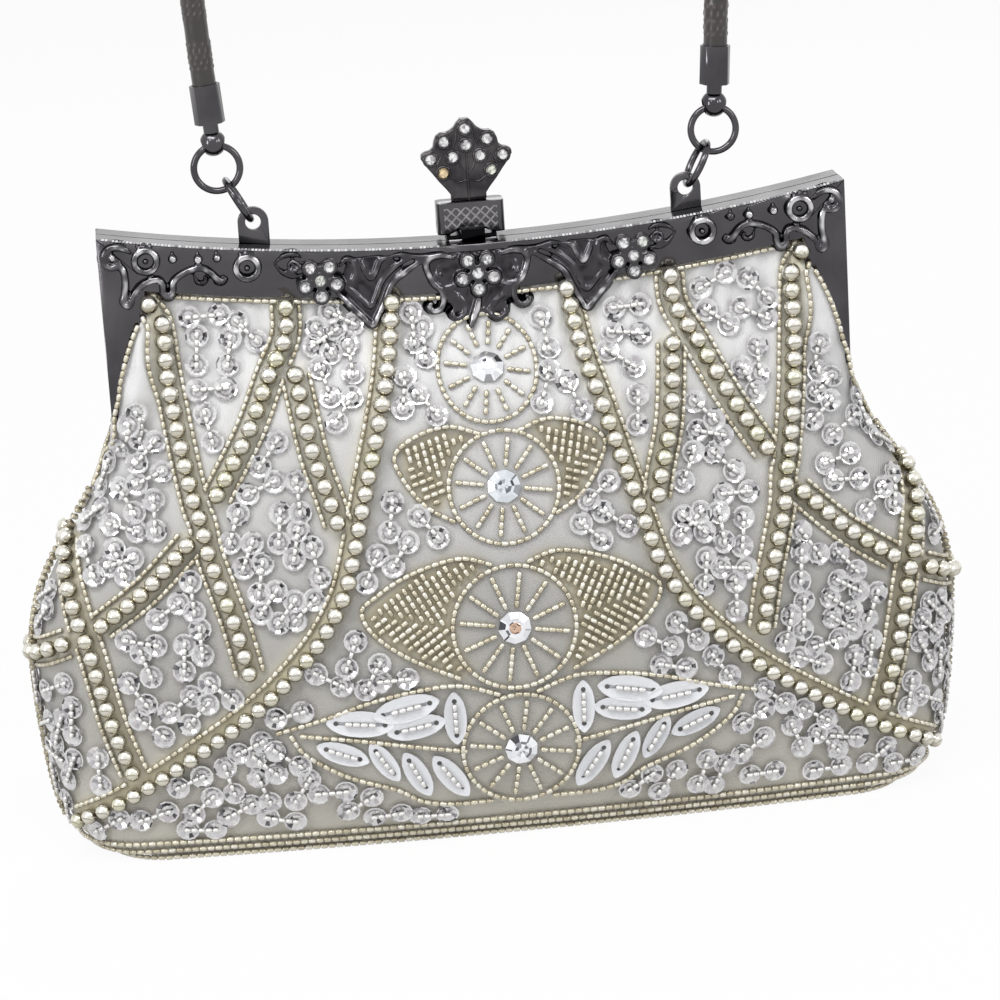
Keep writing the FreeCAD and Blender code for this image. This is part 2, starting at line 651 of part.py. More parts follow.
# Front ornament: a cast scroll strip on the front bar, with parts that hang over the cloth
# Places are shares of the frame's half width and, below the bar's top edge, of the bar's height.
STRIP_SHARES = (0.97, 0.16, 0.92)
BOSS_SHARES = ((0.878, 0.45), (0.607, 0.49))
BEAD_SHARES = ((0.819, 0.345), (0.753, 0.33), (0.702, 0.32))
FLOWER_SHARES = ((0, 0.59), (0.419, 0.61))
LOOP_SHARES = ((0.127, 0.62),)
PENDANT_SHARES = ((0.235, 0.55), (0.385, 0.6), (0.302, 1.61))
CORNER_SHARES = ((0.915, 0.3), (0.985, 0.3), (0.975, 0.9), (0.933, 1.52), (0.9, 1.2))
DROP_SHARES = ((0.12, 0.8), (0.08, 1.35), (0, 1.88))
PETALS = 5


def relief_point(share_x, share_drop, y):
    x = share_x * size("half_width")
    return Vector(x, y, arch(x, share_drop * size("bar_height")))


def raised(outline, height):
    """A plate on the bar's front face, raised by height."""
    seat = -size("half_outer")
    points = [relief_point(x, drop, seat) for x, drop in outline]
    return Part.Face(Part.makePolygon(points + points[:1])).extrude(Vector(0, -height, 0))


def disc(share_x, share_drop, radius, height):
    seat = relief_point(share_x, share_drop, -size("half_outer"))
    return Part.makeCylinder(radius, height, seat, Vector(0, -1, 0))


def ground_strip():
    """Strip along the bar between two insets of its top edge."""
    reach_share, high_share, low_share = STRIP_SHARES
    seat = -size("half_outer")
    top = [relief_point(x, high_share, seat) for x in (-reach_share, 0, reach_share)]
    foot = [relief_point(x, low_share, seat) for x in (reach_share, 0, -reach_share)]
    edges = [
        Part.Arc(*top).toShape(), Part.makeLine(top[-1], foot[0]),
        Part.Arc(*foot).toShape(), Part.makeLine(foot[-1], top[0]),
    ]
    return Part.Face(Part.Wire(edges)).extrude(Vector(0, -size("relief_low"), 0))


def ornament_shape():
    relief = ground_strip()
    high = size("relief_high")
    hang = size("relief_hang")
    for x, drop in both_ways(BOSS_SHARES):
        boss = disc(x, drop, size("boss_radius"), high)
        relief = relief.fuse(boss).cut(disc(x, drop, size("boss_hollow"), high).cut(
            disc(x, drop, size("boss_radius"), size("relief_low"))))
    for x, drop in both_ways(BEAD_SHARES):
        relief = relief.fuse(disc(x, drop, size("bead_radius"), high))
    for x, drop in both_ways(LOOP_SHARES):
        relief = relief.fuse(disc(x, drop, size("loop_radius"), high))
    for x, drop in both_ways(FLOWER_SHARES):
        relief = relief.fuse(disc(x, drop, size("flower_radius"), hang))
    for side in (-1, 1):
        for outline in (PENDANT_SHARES, CORNER_SHARES):
            relief = relief.fuse(raised([(side * x, drop) for x, drop in outline], hang))
    middle = [*DROP_SHARES, *[(-x, drop) for x, drop in reversed(DROP_SHARES[:-1])]]
    relief = relief.fuse(raised(middle, hang))
    return relief.cut(upper_body).removeSplitter()


def flower_stones():
    stones = []
    for x, drop in both_ways(FLOWER_SHARES):
        middle = relief_point(x, drop, -size("half_outer") - size("relief_hang"))
        stones.append(stone(size("stone_radius"), middle))
        for petal in range(PETALS):
            turn = 2 * math.pi * petal / PETALS - math.pi / 2
            out = Vector(math.cos(turn), 0, math.sin(turn)) * size("petal_ring")
            stones.append(stone(size("stone_radius"), middle + out))
    return Part.makeCompound(stones)


shaped("front_ornament", ornament_shape())
shaped("front_ornament_stones", flower_stones())

# Pearl strings: rows of pearls sewn on the front and the back, as round cords that lie on the cloth
# Marks are shares of the way from the middle to the side and of the height of the panel they lie on.
LOWER_STRINGS = (
    ((0.694, 0.976), (0.658, 0.921), (0.62, 0.845), (0.571, 0.752), (0.533, 0.655), (0.512, 0.57), (0.504, 0.518)),
    ((0.302, 0.976), (0.309, 0.887), (0.311, 0.802), (0.326, 0.708), (0.38, 0.583), (0.432, 0.502),
     (0.489, 0.437), (0.619, 0.315), (0.694, 0.255), (0.755, 0.208), (0.792, 0.185), (0.828, 0.162),
     (0.863, 0.143), (0.898, 0.125)),
    ((0.385, 0.976), (0.355, 0.911)),
    ((0.933, 0.833), (0.891, 0.762), (0.851, 0.681), (0.817, 0.59), (0.801, 0.5), (0.784, 0.405),
     (0.771, 0.333), (0.757, 0.268)),
    ((0.673, 0.869), (0.73, 0.756), (0.802, 0.669)),
    ((0.875, 0.619), (0.901, 0.602), (0.928, 0.589), (0.949, 0.581), (0.97, 0.575)),
)
UPPER_STRINGS = (
    ((0.91, 0.545), (0.893, 0.4), (0.876, 0.25), (0.817, 0.08)),
    ((0.552, 0.568), (0.558, 0.432), (0.59, 0.25), (0.606, 0.08)),
    ((0.519, 0.239), (0.483, 0.08)),
    ((0.25, 0.545), (0.262, 0.4), (0.271, 0.25), (0.278, 0.08)),
)
RUN_SHARE = 0.45


def on_cloth(ovals, share, height):
    """A point of the front's face, at a share of the way from the middle to the side."""
    half_width, half_depth, end_share = girth(ovals, height)
    end, end_x, setback, meet = oval_arcs(half_width, half_depth, end_share)
    crown = half_depth + setback
    along = share * (crown * meet + end * (math.pi / 2 - meet))
    turn = along / crown
    if turn < meet:
        return Vector(crown * math.sin(turn), setback - crown * math.cos(turn), height)
    turn = meet + (along - crown * meet) / end
    return Vector(end_x + end * math.sin(turn), -end * math.cos(turn), height)


def off_cloth(ovals, share, height, out):
    """A point out from the front's face, square to it."""
    across = on_cloth(ovals, share + CLOSE_SHARE, height) - on_cloth(ovals, share - CLOSE_SHARE, height)
    rise = on_cloth(ovals, share, height + CLOSE_SHARE) - on_cloth(ovals, share, height - CLOSE_SHARE)
    return on_cloth(ovals, share, height) + across.cross(rise).normalize() * out


def rounded_path(points, name=""):
    """Straight runs joined by tangent arcs, each as large as its shorter run allows."""
    edges = []
    here = points[0]
    for before, corner, after in zip(points, points[1:], points[2:]):
        back = (before - corner).normalize()
        ahead = (after - corner).normalize()
        turn = math.pi - back.getAngle(ahead)
        trim = RUN_SHARE * min((before - corner).Length, (after - corner).Length)
        radius = trim / math.tan(turn / 2)
        inward = (back + ahead).normalize()
        middle = corner + inward * (radius / math.cos(turn / 2) - radius)
        edges.append(Part.makeLine(here, corner + back * trim))
        edges.append(Part.Arc(corner + back * trim, middle, corner + ahead * trim).toShape())
        here = corner + ahead * trim
        if name:
            print(f"{name} turn {math.degrees(turn):.1f} degrees, radius {radius:.1f} mm")
    edges.append(Part.makeLine(here, points[-1]))
    return Part.Wire(edges)


def round_cord(path, radius):
    """A circle carried along a path."""
    start = path.Edges[0]
    ring = Part.makeCircle(radius, start.Vertexes[0].Point, start.tangentAt(start.FirstParameter))
    return path.makePipeShell([Part.Wire(ring)], True, False)


def pearl_string(ovals, marks, foot, climb):
    """A round cord through the marks of one string, off the cloth by as much as its threads lift it."""
    radius = size("pearl_radius")
    out = radius + size("string_lift")
    points = [off_cloth(ovals, share, foot + up * climb, out) for share, up in marks]
    return round_cord(rounded_path(points), radius)


def sewn_strings(ovals, strings, foot, climb):
    """The strings of a front panel, left and right."""
    right = [pearl_string(ovals, marks, foot, climb) for marks in strings]
    left = [cord.mirror(Vector(), Vector(1, 0, 0)) for cord in right]
    return Part.makeCompound(right + left)


arms = size("frame_top") - size("arm_foot")
for level, strings in (
    ("lower", sewn_strings(lower, LOWER_STRINGS, 0, size("rim_height"))),
    ("upper", sewn_strings(upper, UPPER_STRINGS, size("arm_foot"), arms)),
):
    shaped(f"front_pearls_{level}", strings)
    shaped(f"back_pearls_{level}", strings.mirror(Vector(), Vector(0, 1, 0)))

# Handle eyelets: drilled lugs soldered on the back half, shaped to its dipping top edge
back_block = doc.addObject("Part::Feature", "back_block")
back_block.Shape = frame_block(1)
for name, end in SIDES:
    plate = primitive(
        "Box", f"eyelet_plate_{name}",
        (f"{end} * eyelet_spacing / 2 - eyelet_radius", "half_inner", "eyelet_foot - frame_wall"),
        Length="2 * eyelet_radius", Width="eyelet_wall", Height="eyelet_rise + frame_wall",
    )
    middle = (f"{end} * eyelet_spacing / 2", "half_inner", "eyelet_height")
    top = primitive("Cylinder", f"eyelet_top_{name}", middle, ALONG_Y,
                    Radius="eyelet_radius", Height="eyelet_wall")
    hole = primitive("Cylinder", f"eyelet_hole_{name}", middle, ALONG_Y,
                     Radius="eyelet_hole_radius", Height="eyelet_wall")
    blank = cut(f"eyelet_drilled_{name}", fused(f"eyelet_blank_{name}", plate, top), hole)
    keep(cut(f"eyelet_{name}", blank, back_block), f"handle_eyelet_{name}")

# Rings: one through each eyelet, linked to one through each ferrule
for name, end in SIDES:
    lean = Rotation(Vector(0, 1, 0), end * (90 + size("ring_lean")))
    eyelet_ring = primitive(
        "Torus", f"ring_low_{name}", (f"{end} * eyelet_ring_x", "eyelet_plane", "eyelet_ring_z"), lean,
        Radius1="eyelet_ring_radius", Radius2="wire_radius",
    )
    keep(eyelet_ring, f"eyelet_ring_{name}")
    handle_ring = primitive(
        "Torus", f"ring_high_{name}", (f"{end} * handle_ring_x", "eyelet_plane", "handle_ring_z"), ALONG_Y,
        Radius1="handle_ring_radius", Radius2="wire_radius",
    )
    keep(handle_ring, f"handle_ring_{name}")

# Ferrules: an eight-sided tube on each end of the cord, with a drilled ball that takes the ring
SOCKET_FLOOR = "ball_offset + neck_length + ferrule_length - socket_depth"
for name, end in SIDES:
    ball = primitive("Sphere", f"ball_{name}", ("0", "0", "ball_offset"), Radius="ball_radius")
    neck_rod = primitive("Cylinder", f"neck_{name}", ("0", "0", "ball_offset"),
                         Radius="neck_radius", Height="neck_length + overrun")
    tube = primitive("Prism", f"tube_{name}", ("0", "0", "ball_offset + neck_length"),
                     Circumradius="ferrule_radius", Height="ferrule_length")
    tube.Polygon = 8
    ball_hole = primitive("Cylinder", f"ball_hole_{name}", ("-ball_radius - overrun", "0", "0"), ALONG_X,
                          Radius="ball_hole_radius", Height="2 * ball_radius + 2 * overrun")
    socket = primitive("Cylinder", f"socket_{name}", ("0", "0", SOCKET_FLOOR),
                       Radius="cord_radius + socket_clearance", Height="socket_depth + overrun")
    ferrule_blank = fused(f"ferrule_blank_{name}", ball, neck_rod, tube)
    ferrule = cut(f"ferrule_{name}", ferrule_blank, fused(f"ferrule_cuts_{name}", ball_hole, socket))
    ferrule.Placement = Placement(Vector(), Rotation(Vector(0, 1, 0), end * size("ferrule_lean")))
    for axis, text in zip("xyz", (f"{end} * tilt_x", "eyelet_plane", "tilt_z")):
        ferrule.setExpression("Placement.Base." + axis, cell(text))
    keep(ferrule, f"ferrule_{name}")

# Handle cord: out of the right ferrule, up and over in one arch, down into the left ferrule
# The points above the two ferrules are chosen by hand.
CORD_ARCH = ((58.6, 232), (52.4, 268), (33.4, 293.5), (12, 304))
FIRST_RUN = 28


def cord_route():
    lean = math.radians(size("ferrule_lean"))
    axis = Vector(math.sin(lean), 0, math.cos(lean))
    rise = size("ball_offset") + size("neck_length") + size("ferrule_length") - size("socket_depth")
    start = Vector(size("tilt_x"), size("eyelet_plane"), size("tilt_z")) + axis * rise
    right = [start, start + axis * FIRST_RUN]
    right += [Vector(x, size("eyelet_plane"), z) for x, z in CORD_ARCH]
    left = [Vector(-point.x, point.y, point.z) for point in reversed(right)]
    return right + left


def cord_shape():
    path = rounded_path(cord_route(), "cord")
    tube = round_cord(path, size("cord_radius"))
    expected = math.pi * size("cord_radius") ** 2 * path.Length
    print(f"cord length {path.Length:.1f} mm, volume {tube.Volume / expected:.4f} of section times length")
    return tube


shaped("handle_cord", cord_shape())

doc.recompute()
for thing in doc.Objects:
    if "Invalid" in thing.State or "Error" in thing.State:
        raise RuntimeError(f"{thing.Label} did not build: {thing.State}")
for piece in pieces:
    if piece.Shape.isNull() or not piece.Shape.isValid():
        raise RuntimeError(f"{piece.Label} has no valid shape")

os.makedirs("parts", exist_ok=True)
for piece in pieces:
    piece.Shape.exportStep(f"parts/{piece.Label}.step")
    print(f"{piece.Label}: {len(piece.Shape.Solids)} solids, {piece.Shape.Volume:.1f} mm3")
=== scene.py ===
import math
import random
from bisect import bisect

import bmesh
import bpy
import numpy as np
from mathutils import Matrix, Quaternion, Vector
from mathutils.kdtree import KDTree
from mathutils.noise import noise


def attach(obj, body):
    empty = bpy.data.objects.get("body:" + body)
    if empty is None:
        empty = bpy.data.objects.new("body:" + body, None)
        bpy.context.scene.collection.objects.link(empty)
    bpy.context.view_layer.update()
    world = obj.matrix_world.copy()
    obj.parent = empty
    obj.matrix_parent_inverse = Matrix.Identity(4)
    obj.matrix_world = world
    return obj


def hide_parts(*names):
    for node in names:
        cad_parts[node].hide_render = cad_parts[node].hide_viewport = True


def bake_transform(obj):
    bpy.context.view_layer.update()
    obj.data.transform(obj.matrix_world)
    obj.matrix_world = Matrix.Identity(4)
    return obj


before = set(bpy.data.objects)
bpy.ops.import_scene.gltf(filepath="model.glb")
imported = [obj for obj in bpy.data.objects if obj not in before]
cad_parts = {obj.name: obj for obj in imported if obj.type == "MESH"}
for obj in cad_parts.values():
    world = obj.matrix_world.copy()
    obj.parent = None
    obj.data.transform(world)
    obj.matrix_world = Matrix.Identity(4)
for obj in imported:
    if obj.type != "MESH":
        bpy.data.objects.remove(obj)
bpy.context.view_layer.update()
bpy.ops.object.select_all(action="DESELECT")


# The purse stands on white paper in soft light and is seen from a little
# to its left and a little above, by a long lens held slightly out of level.
MM = 0.001
AIM = Vector((2.5, 0.0, 72.8)) * MM
CAMERA_DISTANCE, CLIP_START = 0.850, 0.01
CAMERA_AZIMUTH, CAMERA_ELEVATION, CAMERA_ROLL = 5.4, 15.6, -3.55
LENS_LENGTH, SENSOR_WIDTH = 135.8, 36.0
LAMPS = (
    ("lamp_over", (-0.30, -0.50, 0.95), 0.95, 0.28, 6.2),
    ("lamp_left", (-0.95, -0.70, 0.40), 0.20, 0.50, 3.0),
    ("lamp_right", (0.90, -0.60, 0.60), 0.18, 0.40, 1.9),
    ("lamp_behind", (0.20, 0.90, 0.70), 0.60, 0.60, 2.6),
    ("strip_left", (-0.50, -0.80, 0.80), 0.05, 0.30, 0.9),
    ("strip_right", (0.55, -0.85, 0.55), 0.05, 0.25, 0.85),
    ("strip_high", (0.10, -0.60, 1.05), 0.40, 0.04, 0.9),
)
ROOM_TONE, ROOM_POWER, WHITE = (0.985, 0.99, 1.0), 0.30, (1.0, 1.0, 1.0)
PAPER_SIZE, PAPER_TONE, PAPER_ROUGHNESS, PAPER_GLOW = 6.0, (0.86, 0.86, 0.86), 0.9, 0.94

azimuth, elevation = math.radians(CAMERA_AZIMUTH), math.radians(CAMERA_ELEVATION)
looking = Vector((math.sin(azimuth) * math.cos(elevation),
                  math.cos(azimuth) * math.cos(elevation), -math.sin(elevation)))
bpy.ops.object.camera_add(location=AIM - looking * CAMERA_DISTANCE)
camera = bpy.context.object
camera.rotation_euler = (looking.to_track_quat("-Z", "Y")
                         @ Quaternion((0, 0, 1), math.radians(CAMERA_ROLL))).to_euler()
camera.data.lens, camera.data.sensor_width = LENS_LENGTH, SENSOR_WIDTH
camera.data.clip_start = CLIP_START
bpy.context.scene.camera = camera
bpy.context.scene.view_settings.view_transform = "Standard"

for name, place, wide, high, power in LAMPS:
    bpy.ops.object.light_add(type="AREA", location=place)
    lamp = bpy.context.object
    lamp.name, lamp.data.energy = name, power
    lamp.data.shape, lamp.data.size, lamp.data.size_y = "RECTANGLE", wide, high
    lamp.rotation_euler = (Vector(place) - AIM).to_track_quat("Z", "Y").to_euler()


def feed(tree, socket, value):
    """Links another node's output to a socket, or sets the socket's own value."""
    if isinstance(value, bpy.types.NodeSocket):
        tree.links.new(value, socket)
    else:
        socket.default_value = (*value, 1.0) if socket.type == "RGBA" else value


def fill(tree, node, inputs):
    """Feeds a node's inputs, whose names have _ for a space."""
    for name, value in inputs.items():
        feed(tree, node.inputs[name.replace("_", " ")], value)
    return node


def add(tree, kind, **inputs):
    return fill(tree, tree.nodes.new("ShaderNode" + kind), inputs)


def calc(tree, operation, a, b=0.0):
    node = add(tree, "Math")
    node.operation = operation
    feed(tree, node.inputs[0], a)
    feed(tree, node.inputs[1], b)
    return node.outputs[0]


def seen_rays(tree):
    """Camera, mirror and clear rays: those that see the white paper as white."""
    rays = add(tree, "LightPath").outputs
    direct = calc(tree, "MAXIMUM", rays["Is Camera Ray"], rays["Is Glossy Ray"])
    return calc(tree, "MAXIMUM", direct, rays["Is Transmission Ray"])


def between(tree, factor, first, second):
    """The mix of two shaders."""
    mix = add(tree, "MixShader", Fac=factor)
    feed(tree, mix.inputs[1], first.outputs[0])
    feed(tree, mix.inputs[2], second.outputs[0])
    return mix.outputs[0]


def new_finish(name, **inputs):
    finish = bpy.data.materials.new(name)
    finish.use_nodes = True
    tree = finish.node_tree
    return finish, tree, fill(tree, tree.nodes["Principled BSDF"], inputs)


room = bpy.data.worlds.new("white_room")
bpy.context.scene.world = room
room.use_nodes = True
tree = room.node_tree
tree.nodes.clear()
room_light = add(tree, "Background", Color=ROOM_TONE, Strength=ROOM_POWER)
room_seen = add(tree, "Background", Color=WHITE, Strength=1.0)
add(tree, "OutputWorld", Surface=between(tree, seen_rays(tree), room_light, room_seen))

bpy.ops.mesh.primitive_plane_add(size=PAPER_SIZE)
paper = bpy.context.object
paper.name = "white_paper"
paper_white, tree, body = new_finish("white_paper", Base_Color=PAPER_TONE,
                                     Roughness=PAPER_ROUGHNESS)
paper_share = calc(tree, "MULTIPLY", seen_rays(tree), PAPER_GLOW)
feed(tree, tree.nodes["Material Output"].inputs["Surface"],
     between(tree, paper_share, body, add(tree, "Emission")))
paper.data.materials.append(paper_white)


# The body is two panels of pale silk satin, cut full and sewn to an oval base
# and to each other at the sides, bellied below and gathered into the frame.
# The beading pattern is marked on the cloth before anything is sewn on.
BAG_OVALS = (
    (0.0, 87.98, 17.0, 0.85), (1.68, 93.6, 18.4, 0.82), (5.04, 97.97, 20.4, 0.78),
    (10.08, 100.46, 22.7, 0.72), (16.8, 102.0, 24.8, 0.66), (26.9, 103.2, 26.3, 0.60),
    (37.8, 104.0, 27.0, 0.56), (48.7, 104.0, 26.7, 0.54), (58.8, 102.0, 25.65, 0.52),
    (67.2, 98.3, 24.2, 0.50), (75.6, 93.0, 22.1, 0.50), (84.0, 87.7, 20.0, 0.50),
    (97.0, 82.0, 17.5, 0.50), (102.0, 78.0, 15.1, 0.52), (105.4, 76.3, 12.9, 0.56),
    (109.0, 75.1, 10.4, 0.62), (112.4, 74.5, 8.5, 0.70), (115.9, 74.25, 7.0, 0.80),
    (122.5, 74.25, 5.6, 0.90), (132.2, 74.25, 4.6, 0.90),
)
OVAL_HEIGHTS = [oval[0] for oval in BAG_OVALS]
FRONT, BACK = -1, 1
HALVES = {FRONT: ("front", "front_half"), BACK: ("back", "back_half")}
CLOTH_FOOT, CLOTH_TOP, CLOTH_IN, CLOTH_THICKNESS = 0.25, 130.5, -0.35, 0.0006
CLOTH_COLUMNS, CLOTH_ROWS, ROW_SPREAD, NORMAL_STEP = 176, 112, 1.12, 0.4
GATHER_DEPTH, GATHER_PITCH, GATHER_START, GATHER_RUN = 0.32, 5.4, 96.0, 18.0
GATHER_DRIFT, DRIFT_FINENESS = 4, 0.05
SEAM_DIP, STRING_DIP, SEAM_REACH = 0.22, -0.08, 2.45
STRING_ASIDE, LONG_STRING, STRING_MARK_PITCH = 1.2, 3, 1.6
RIPPLE_DEPTH, RIPPLE_SIZE = 0.35, 21.0
ARM_COVER = (
    (91.0, 84.8, 0.6), (97.0, 82.9, 1.7), (103.0, 81.9, 2.2), (108.0, 81.1, 2.3),
    (113.0, 79.7, 2.4), (118.0, 77.5, 1.9), (122.0, 75.2, 1.0), (126.5, 73.6, 0.0),
)
ARM_EDGE, ARM_FADE_IN, ARM_FADE_OUT, PUFF_LEAN = 6.5, 6.0, 4.0, 1.25
LINE_STEPS, LEAF_EDGE_STEPS = 24, 8
PEARL_LINES = (
    ((72.9, 124.4), (70.6, 120.6), (69.6, 108.0), (68.6, 97.0), (66.4, 82.0), (65.1, 77.4),
     (64.2, 71.0), (61.9, 63.2), (59.5, 55.0), (57.4, 44.8)),
    ((42.6, 122.5), (43.2, 116.0), (47.4, 108.0), (53.0, 97.0), (61.2, 83.6)),
    ((41.7, 107.5), (39.5, 92.0), (36.8, 82.0), (35.4, 76.5)),
    ((19.3, 121.5), (21.5, 108.0), (24.6, 97.0), (27.5, 87.0), (33.0, 67.4), (36.0, 59.5),
     (43.0, 49.0), (55.6, 36.7), (70.0, 26.5), (84.5, 17.5), (99.0, 10.5)),
    ((68.8, 73.0), (79.0, 63.5), (89.4, 56.2)),
    ((97.9, 73.5), (97.3, 70.0), (94.6, 57.2), (92.4, 49.6), (89.0, 34.0), (85.2, 22.5)),
    ((98.4, 52.0), (105.0, 49.5), (110.0, 48.3)),
)
WHEELS = ((0.3, 106.6, 10.9), (1.6, 81.6, 12.2), (1.5, 51.0, 13.7), (1.4, 22.6, 13.0))
LEAF_OUTLINES = (
    ((6.3, 93.6), (12.4, 95.4), (19.6, 93.8), (24.6, 89.9), (22.9, 84.3), (18.6, 78.6),
     (13.2, 75.2)),
    ((6.0, 65.4), (11.6, 67.0), (18.0, 66.1), (25.4, 63.5), (31.0, 60.2), (34.6, 57.0),
     (32.2, 51.6), (24.8, 45.8), (14.6, 40.7)),
)
LEAF_RIBS = (((13.8, 83.5), (24.6, 89.9)), ((15.2, 52.0), (34.6, 57.0)))
FERN_OUTLINES = (
    ((6.2, 36.2), (14.6, 38.8), (24.6, 38.2), (34.6, 36.2), (44.7, 33.0), (54.8, 30.4)),
    ((14.2, 23.2), (26.3, 25.4), (37.4, 27.5), (49.5, 29.3)),
    ((52.0, 29.0), (48.9, 24.5), (40.2, 18.9), (29.5, 14.8), (24.2, 11.5), (17.9, 10.0),
     (8.9, 9.9)),
)
LEAF_SHIFT, LEAF_LEAN, LEAF_GAP, LEAF_CLEAR = 1.4, math.radians(48), 2.3, 1.5
LEAF_FIRST_ROW, LEAF_ROW_LENGTH, LEAF_RIB_GAP, SEED_PITCH = -9, 12, 0.9, 1.74
SATIN_THREADS, SATIN_RELIEF = (1900.0, 1250.0, 26.0), (0.35, 0.0001)
# near the leaf stitches the cloth takes a khaki that is the thread's colour together with painted
# shade
SILK_TOP, THREAD_AND_SHADE_TONE, SLUB_SHARE = 0.11, (0.45, 0.405, 0.275), 0.55
# the satin's pale tone with painted shade by height: lightest at the top, darker over the middle
# and lower body
SILK_TONES_AND_SHADE = ((0.0, (0.56, 0.535, 0.47)), (0.22, (0.42, 0.405, 0.37)),
              (0.52, (0.39, 0.38, 0.365)), (0.78, (0.57, 0.565, 0.56)), (1.0, (0.72, 0.72, 0.725)))
# beside the pearl strings: khaki, lightened as painted light against the beads' shadow, and darker
# towards the bottom as painted shade
STRING_PAINTED_LIGHT_TONES = ((0.0, (0.60, 0.54, 0.38)), (0.5, (0.78, 0.72, 0.52)), (1.0, (1.0, 0.95, 0.72)))
SLUB_TONES = ((0.3, (0.86, 0.86, 0.86)), (0.7, WHITE))


def unit(value):
    return min(max(value, 0.0), 1.0)


def bag_oval(height):
    """Half width, half depth and end share of the bag's oval, smooth between the cut ovals."""
    height = min(max(height, OVAL_HEIGHTS[0]), OVAL_HEIGHTS[-1])
    low = min(bisect(OVAL_HEIGHTS, height) - 1, len(BAG_OVALS) - 2)
    near = [BAG_OVALS[min(max(row, 0), len(BAG_OVALS) - 1)] for row in range(low - 1, low + 3)]
    span = near[2][0] - near[1][0]
    t = (height - near[1][0]) / span
    values = []
    for part in (1, 2, 3):
        rise = (near[2][part] - near[0][part]) / (near[2][0] - near[0][0]) * span
        fall = (near[3][part] - near[1][part]) / (near[3][0] - near[1][0]) * span
        a, b = near[1][part], near[2][part]
        values.append(a + t * rise + t * t * (3 * (b - a) - 2 * rise - fall)
                      + t ** 3 * (2 * (a - b) + rise + fall))
    return values


def bag_arcs(height):
    """The oval's broad arc (radius, centre, half turn) and its end arc (radius, centre)."""
    half_width, half_depth, end_share = bag_oval(height)
    end = end_share * half_depth
    centre = ((half_width - end) ** 2 - (half_depth - end) ** 2) / (2 * (half_depth - end))
    turn = math.atan2(half_width - end, centre)
    return half_depth + centre, centre, turn, end, half_width - end


def half_girth(height):
    broad, _, turn, end, _ = bag_arcs(height)
    return broad * turn + end * (math.pi / 2 - turn)


def over_arm(height):
    """How far out the cloth swells over the frame's arm, how full, and how much of this holds."""
    row = bisect([stop[0] for stop in ARM_COVER], height) - 1
    row = min(max(row, 0), len(ARM_COVER) - 2)
    (low, near_out, near_puff), (high, far_out, far_puff) = ARM_COVER[row:row + 2]
    t = unit((height - low) / (high - low))
    share = (unit((height - ARM_COVER[0][0]) / ARM_FADE_IN)
             * unit((ARM_COVER[-1][0] - height) / ARM_FADE_OUT))
    return (near_out + (far_out - near_out) * t, near_puff + (far_puff - near_puff) * t,
            share * share * (3 - 2 * share))


def cloth_point(around, height, side, swell=True):
    """A point of the cloth in millimetres: around is measured along the cloth from the middle."""
    broad, centre, turn, end, end_centre = bag_arcs(height)
    reach = abs(around)
    if reach <= broad * turn:
        angle = reach / broad
        x, y = broad * math.sin(angle), broad * math.cos(angle) - centre
    else:
        angle = turn + (reach - broad * turn) / end
        x, y = end_centre + end * math.sin(angle), end * math.cos(angle)
        out, puff, cover = over_arm(height) if swell else (0.0, 0.0, 0.0)
        if cover:
            share = (angle - turn) / (math.pi / 2 - turn)
            start_x, start_y = end_centre + end * math.sin(turn), end * math.cos(turn)
            swelling = puff * math.sin(math.pi * share ** PUFF_LEAN) ** 2
            x += (start_x + (out - start_x) * share - x) * cover
            y += (start_y + (ARM_EDGE - start_y) * share + swelling - y) * cover
    return Vector((math.copysign(x, around), side * y, height))


def cloth_normal(around, height, side, swell=True):
    across = (cloth_point(around + NORMAL_STEP, height, side, swell)
              - cloth_point(around - NORMAL_STEP, height, side, swell))
    low, high = max(height - NORMAL_STEP, 0.0), min(height + NORMAL_STEP, OVAL_HEIGHTS[-1])
    upward = cloth_point(around, high, side, swell) - cloth_point(around, low, side, swell)
    return (across.cross(upward) * -side).normalized()


def flowing(points, steps=LINE_STEPS):
    """Places along a smooth line through the marked points."""
    points = [Vector(p) for p in points]
    if len(points) == 2:
        return [points[0].lerp(points[1], k / steps) for k in range(steps + 1)]
    line = []
    for k in range(len(points) - 1):
        before, a = points[max(k - 1, 0)], points[k]
        b, after = points[k + 1], points[min(k + 2, len(points) - 1)]
        for step in range(steps):
            t = step / steps
            line.append(0.5 * (2 * a + (b - before) * t
                               + (2 * before - 5 * a + 4 * b - after) * t * t
                               + (3 * a - before - 3 * b + after) * t ** 3))
    return line + [points[-1]]


def run_along(spots):
    """The length walked up to each place of a line."""
    run = [0.0]
    for before, after in zip(spots, spots[1:]):
        run.append(run[-1] + (after - before).length)
    return run


def stitches(points, pitch, side, offset=0.0, start=0.0, end=0.0):
    """Evenly spaced stitches along a marked line: (around, height, direction on the cloth)."""
    line = flowing(points)
    marks = []
    for k, place in enumerate(line):
        along = (line[min(k + 1, len(line) - 1)] - line[max(k - 1, 0)]).normalized()
        marks.append((place + Vector((-along.y, along.x)) * offset, along))
    run = run_along([cloth_point(place.x, place.y, side) for place, _ in marks])
    count = max(1, round((run[-1] - start - end) / pitch))
    found = []
    for n in range(count + 1):
        want = start + (run[-1] - start - end) * n / count
        k = min(max(bisect(run, want) - 1, 0), len(run) - 2)
        t = (want - run[k]) / max(run[k + 1] - run[k], 1e-6)
        place = marks[k][0].lerp(marks[k + 1][0], t)
        found.append((place.x, place.y, marks[k][1]))
    return found


def mirrored(points, middle=0.0):
    return tuple((2 * middle - x, z) for x, z in points)


def inside(place, edge):
    """Whether a place lies within a closed line."""
    crossings = False
    for k, a in enumerate(edge):
        b = edge[k - 1]
        if (a.y > place.y) != (b.y > place.y):
            if place.x < (b.x - a.x) * (place.y - a.y) / (b.y - a.y) + a.x:
                crossings = not crossings
    return crossings


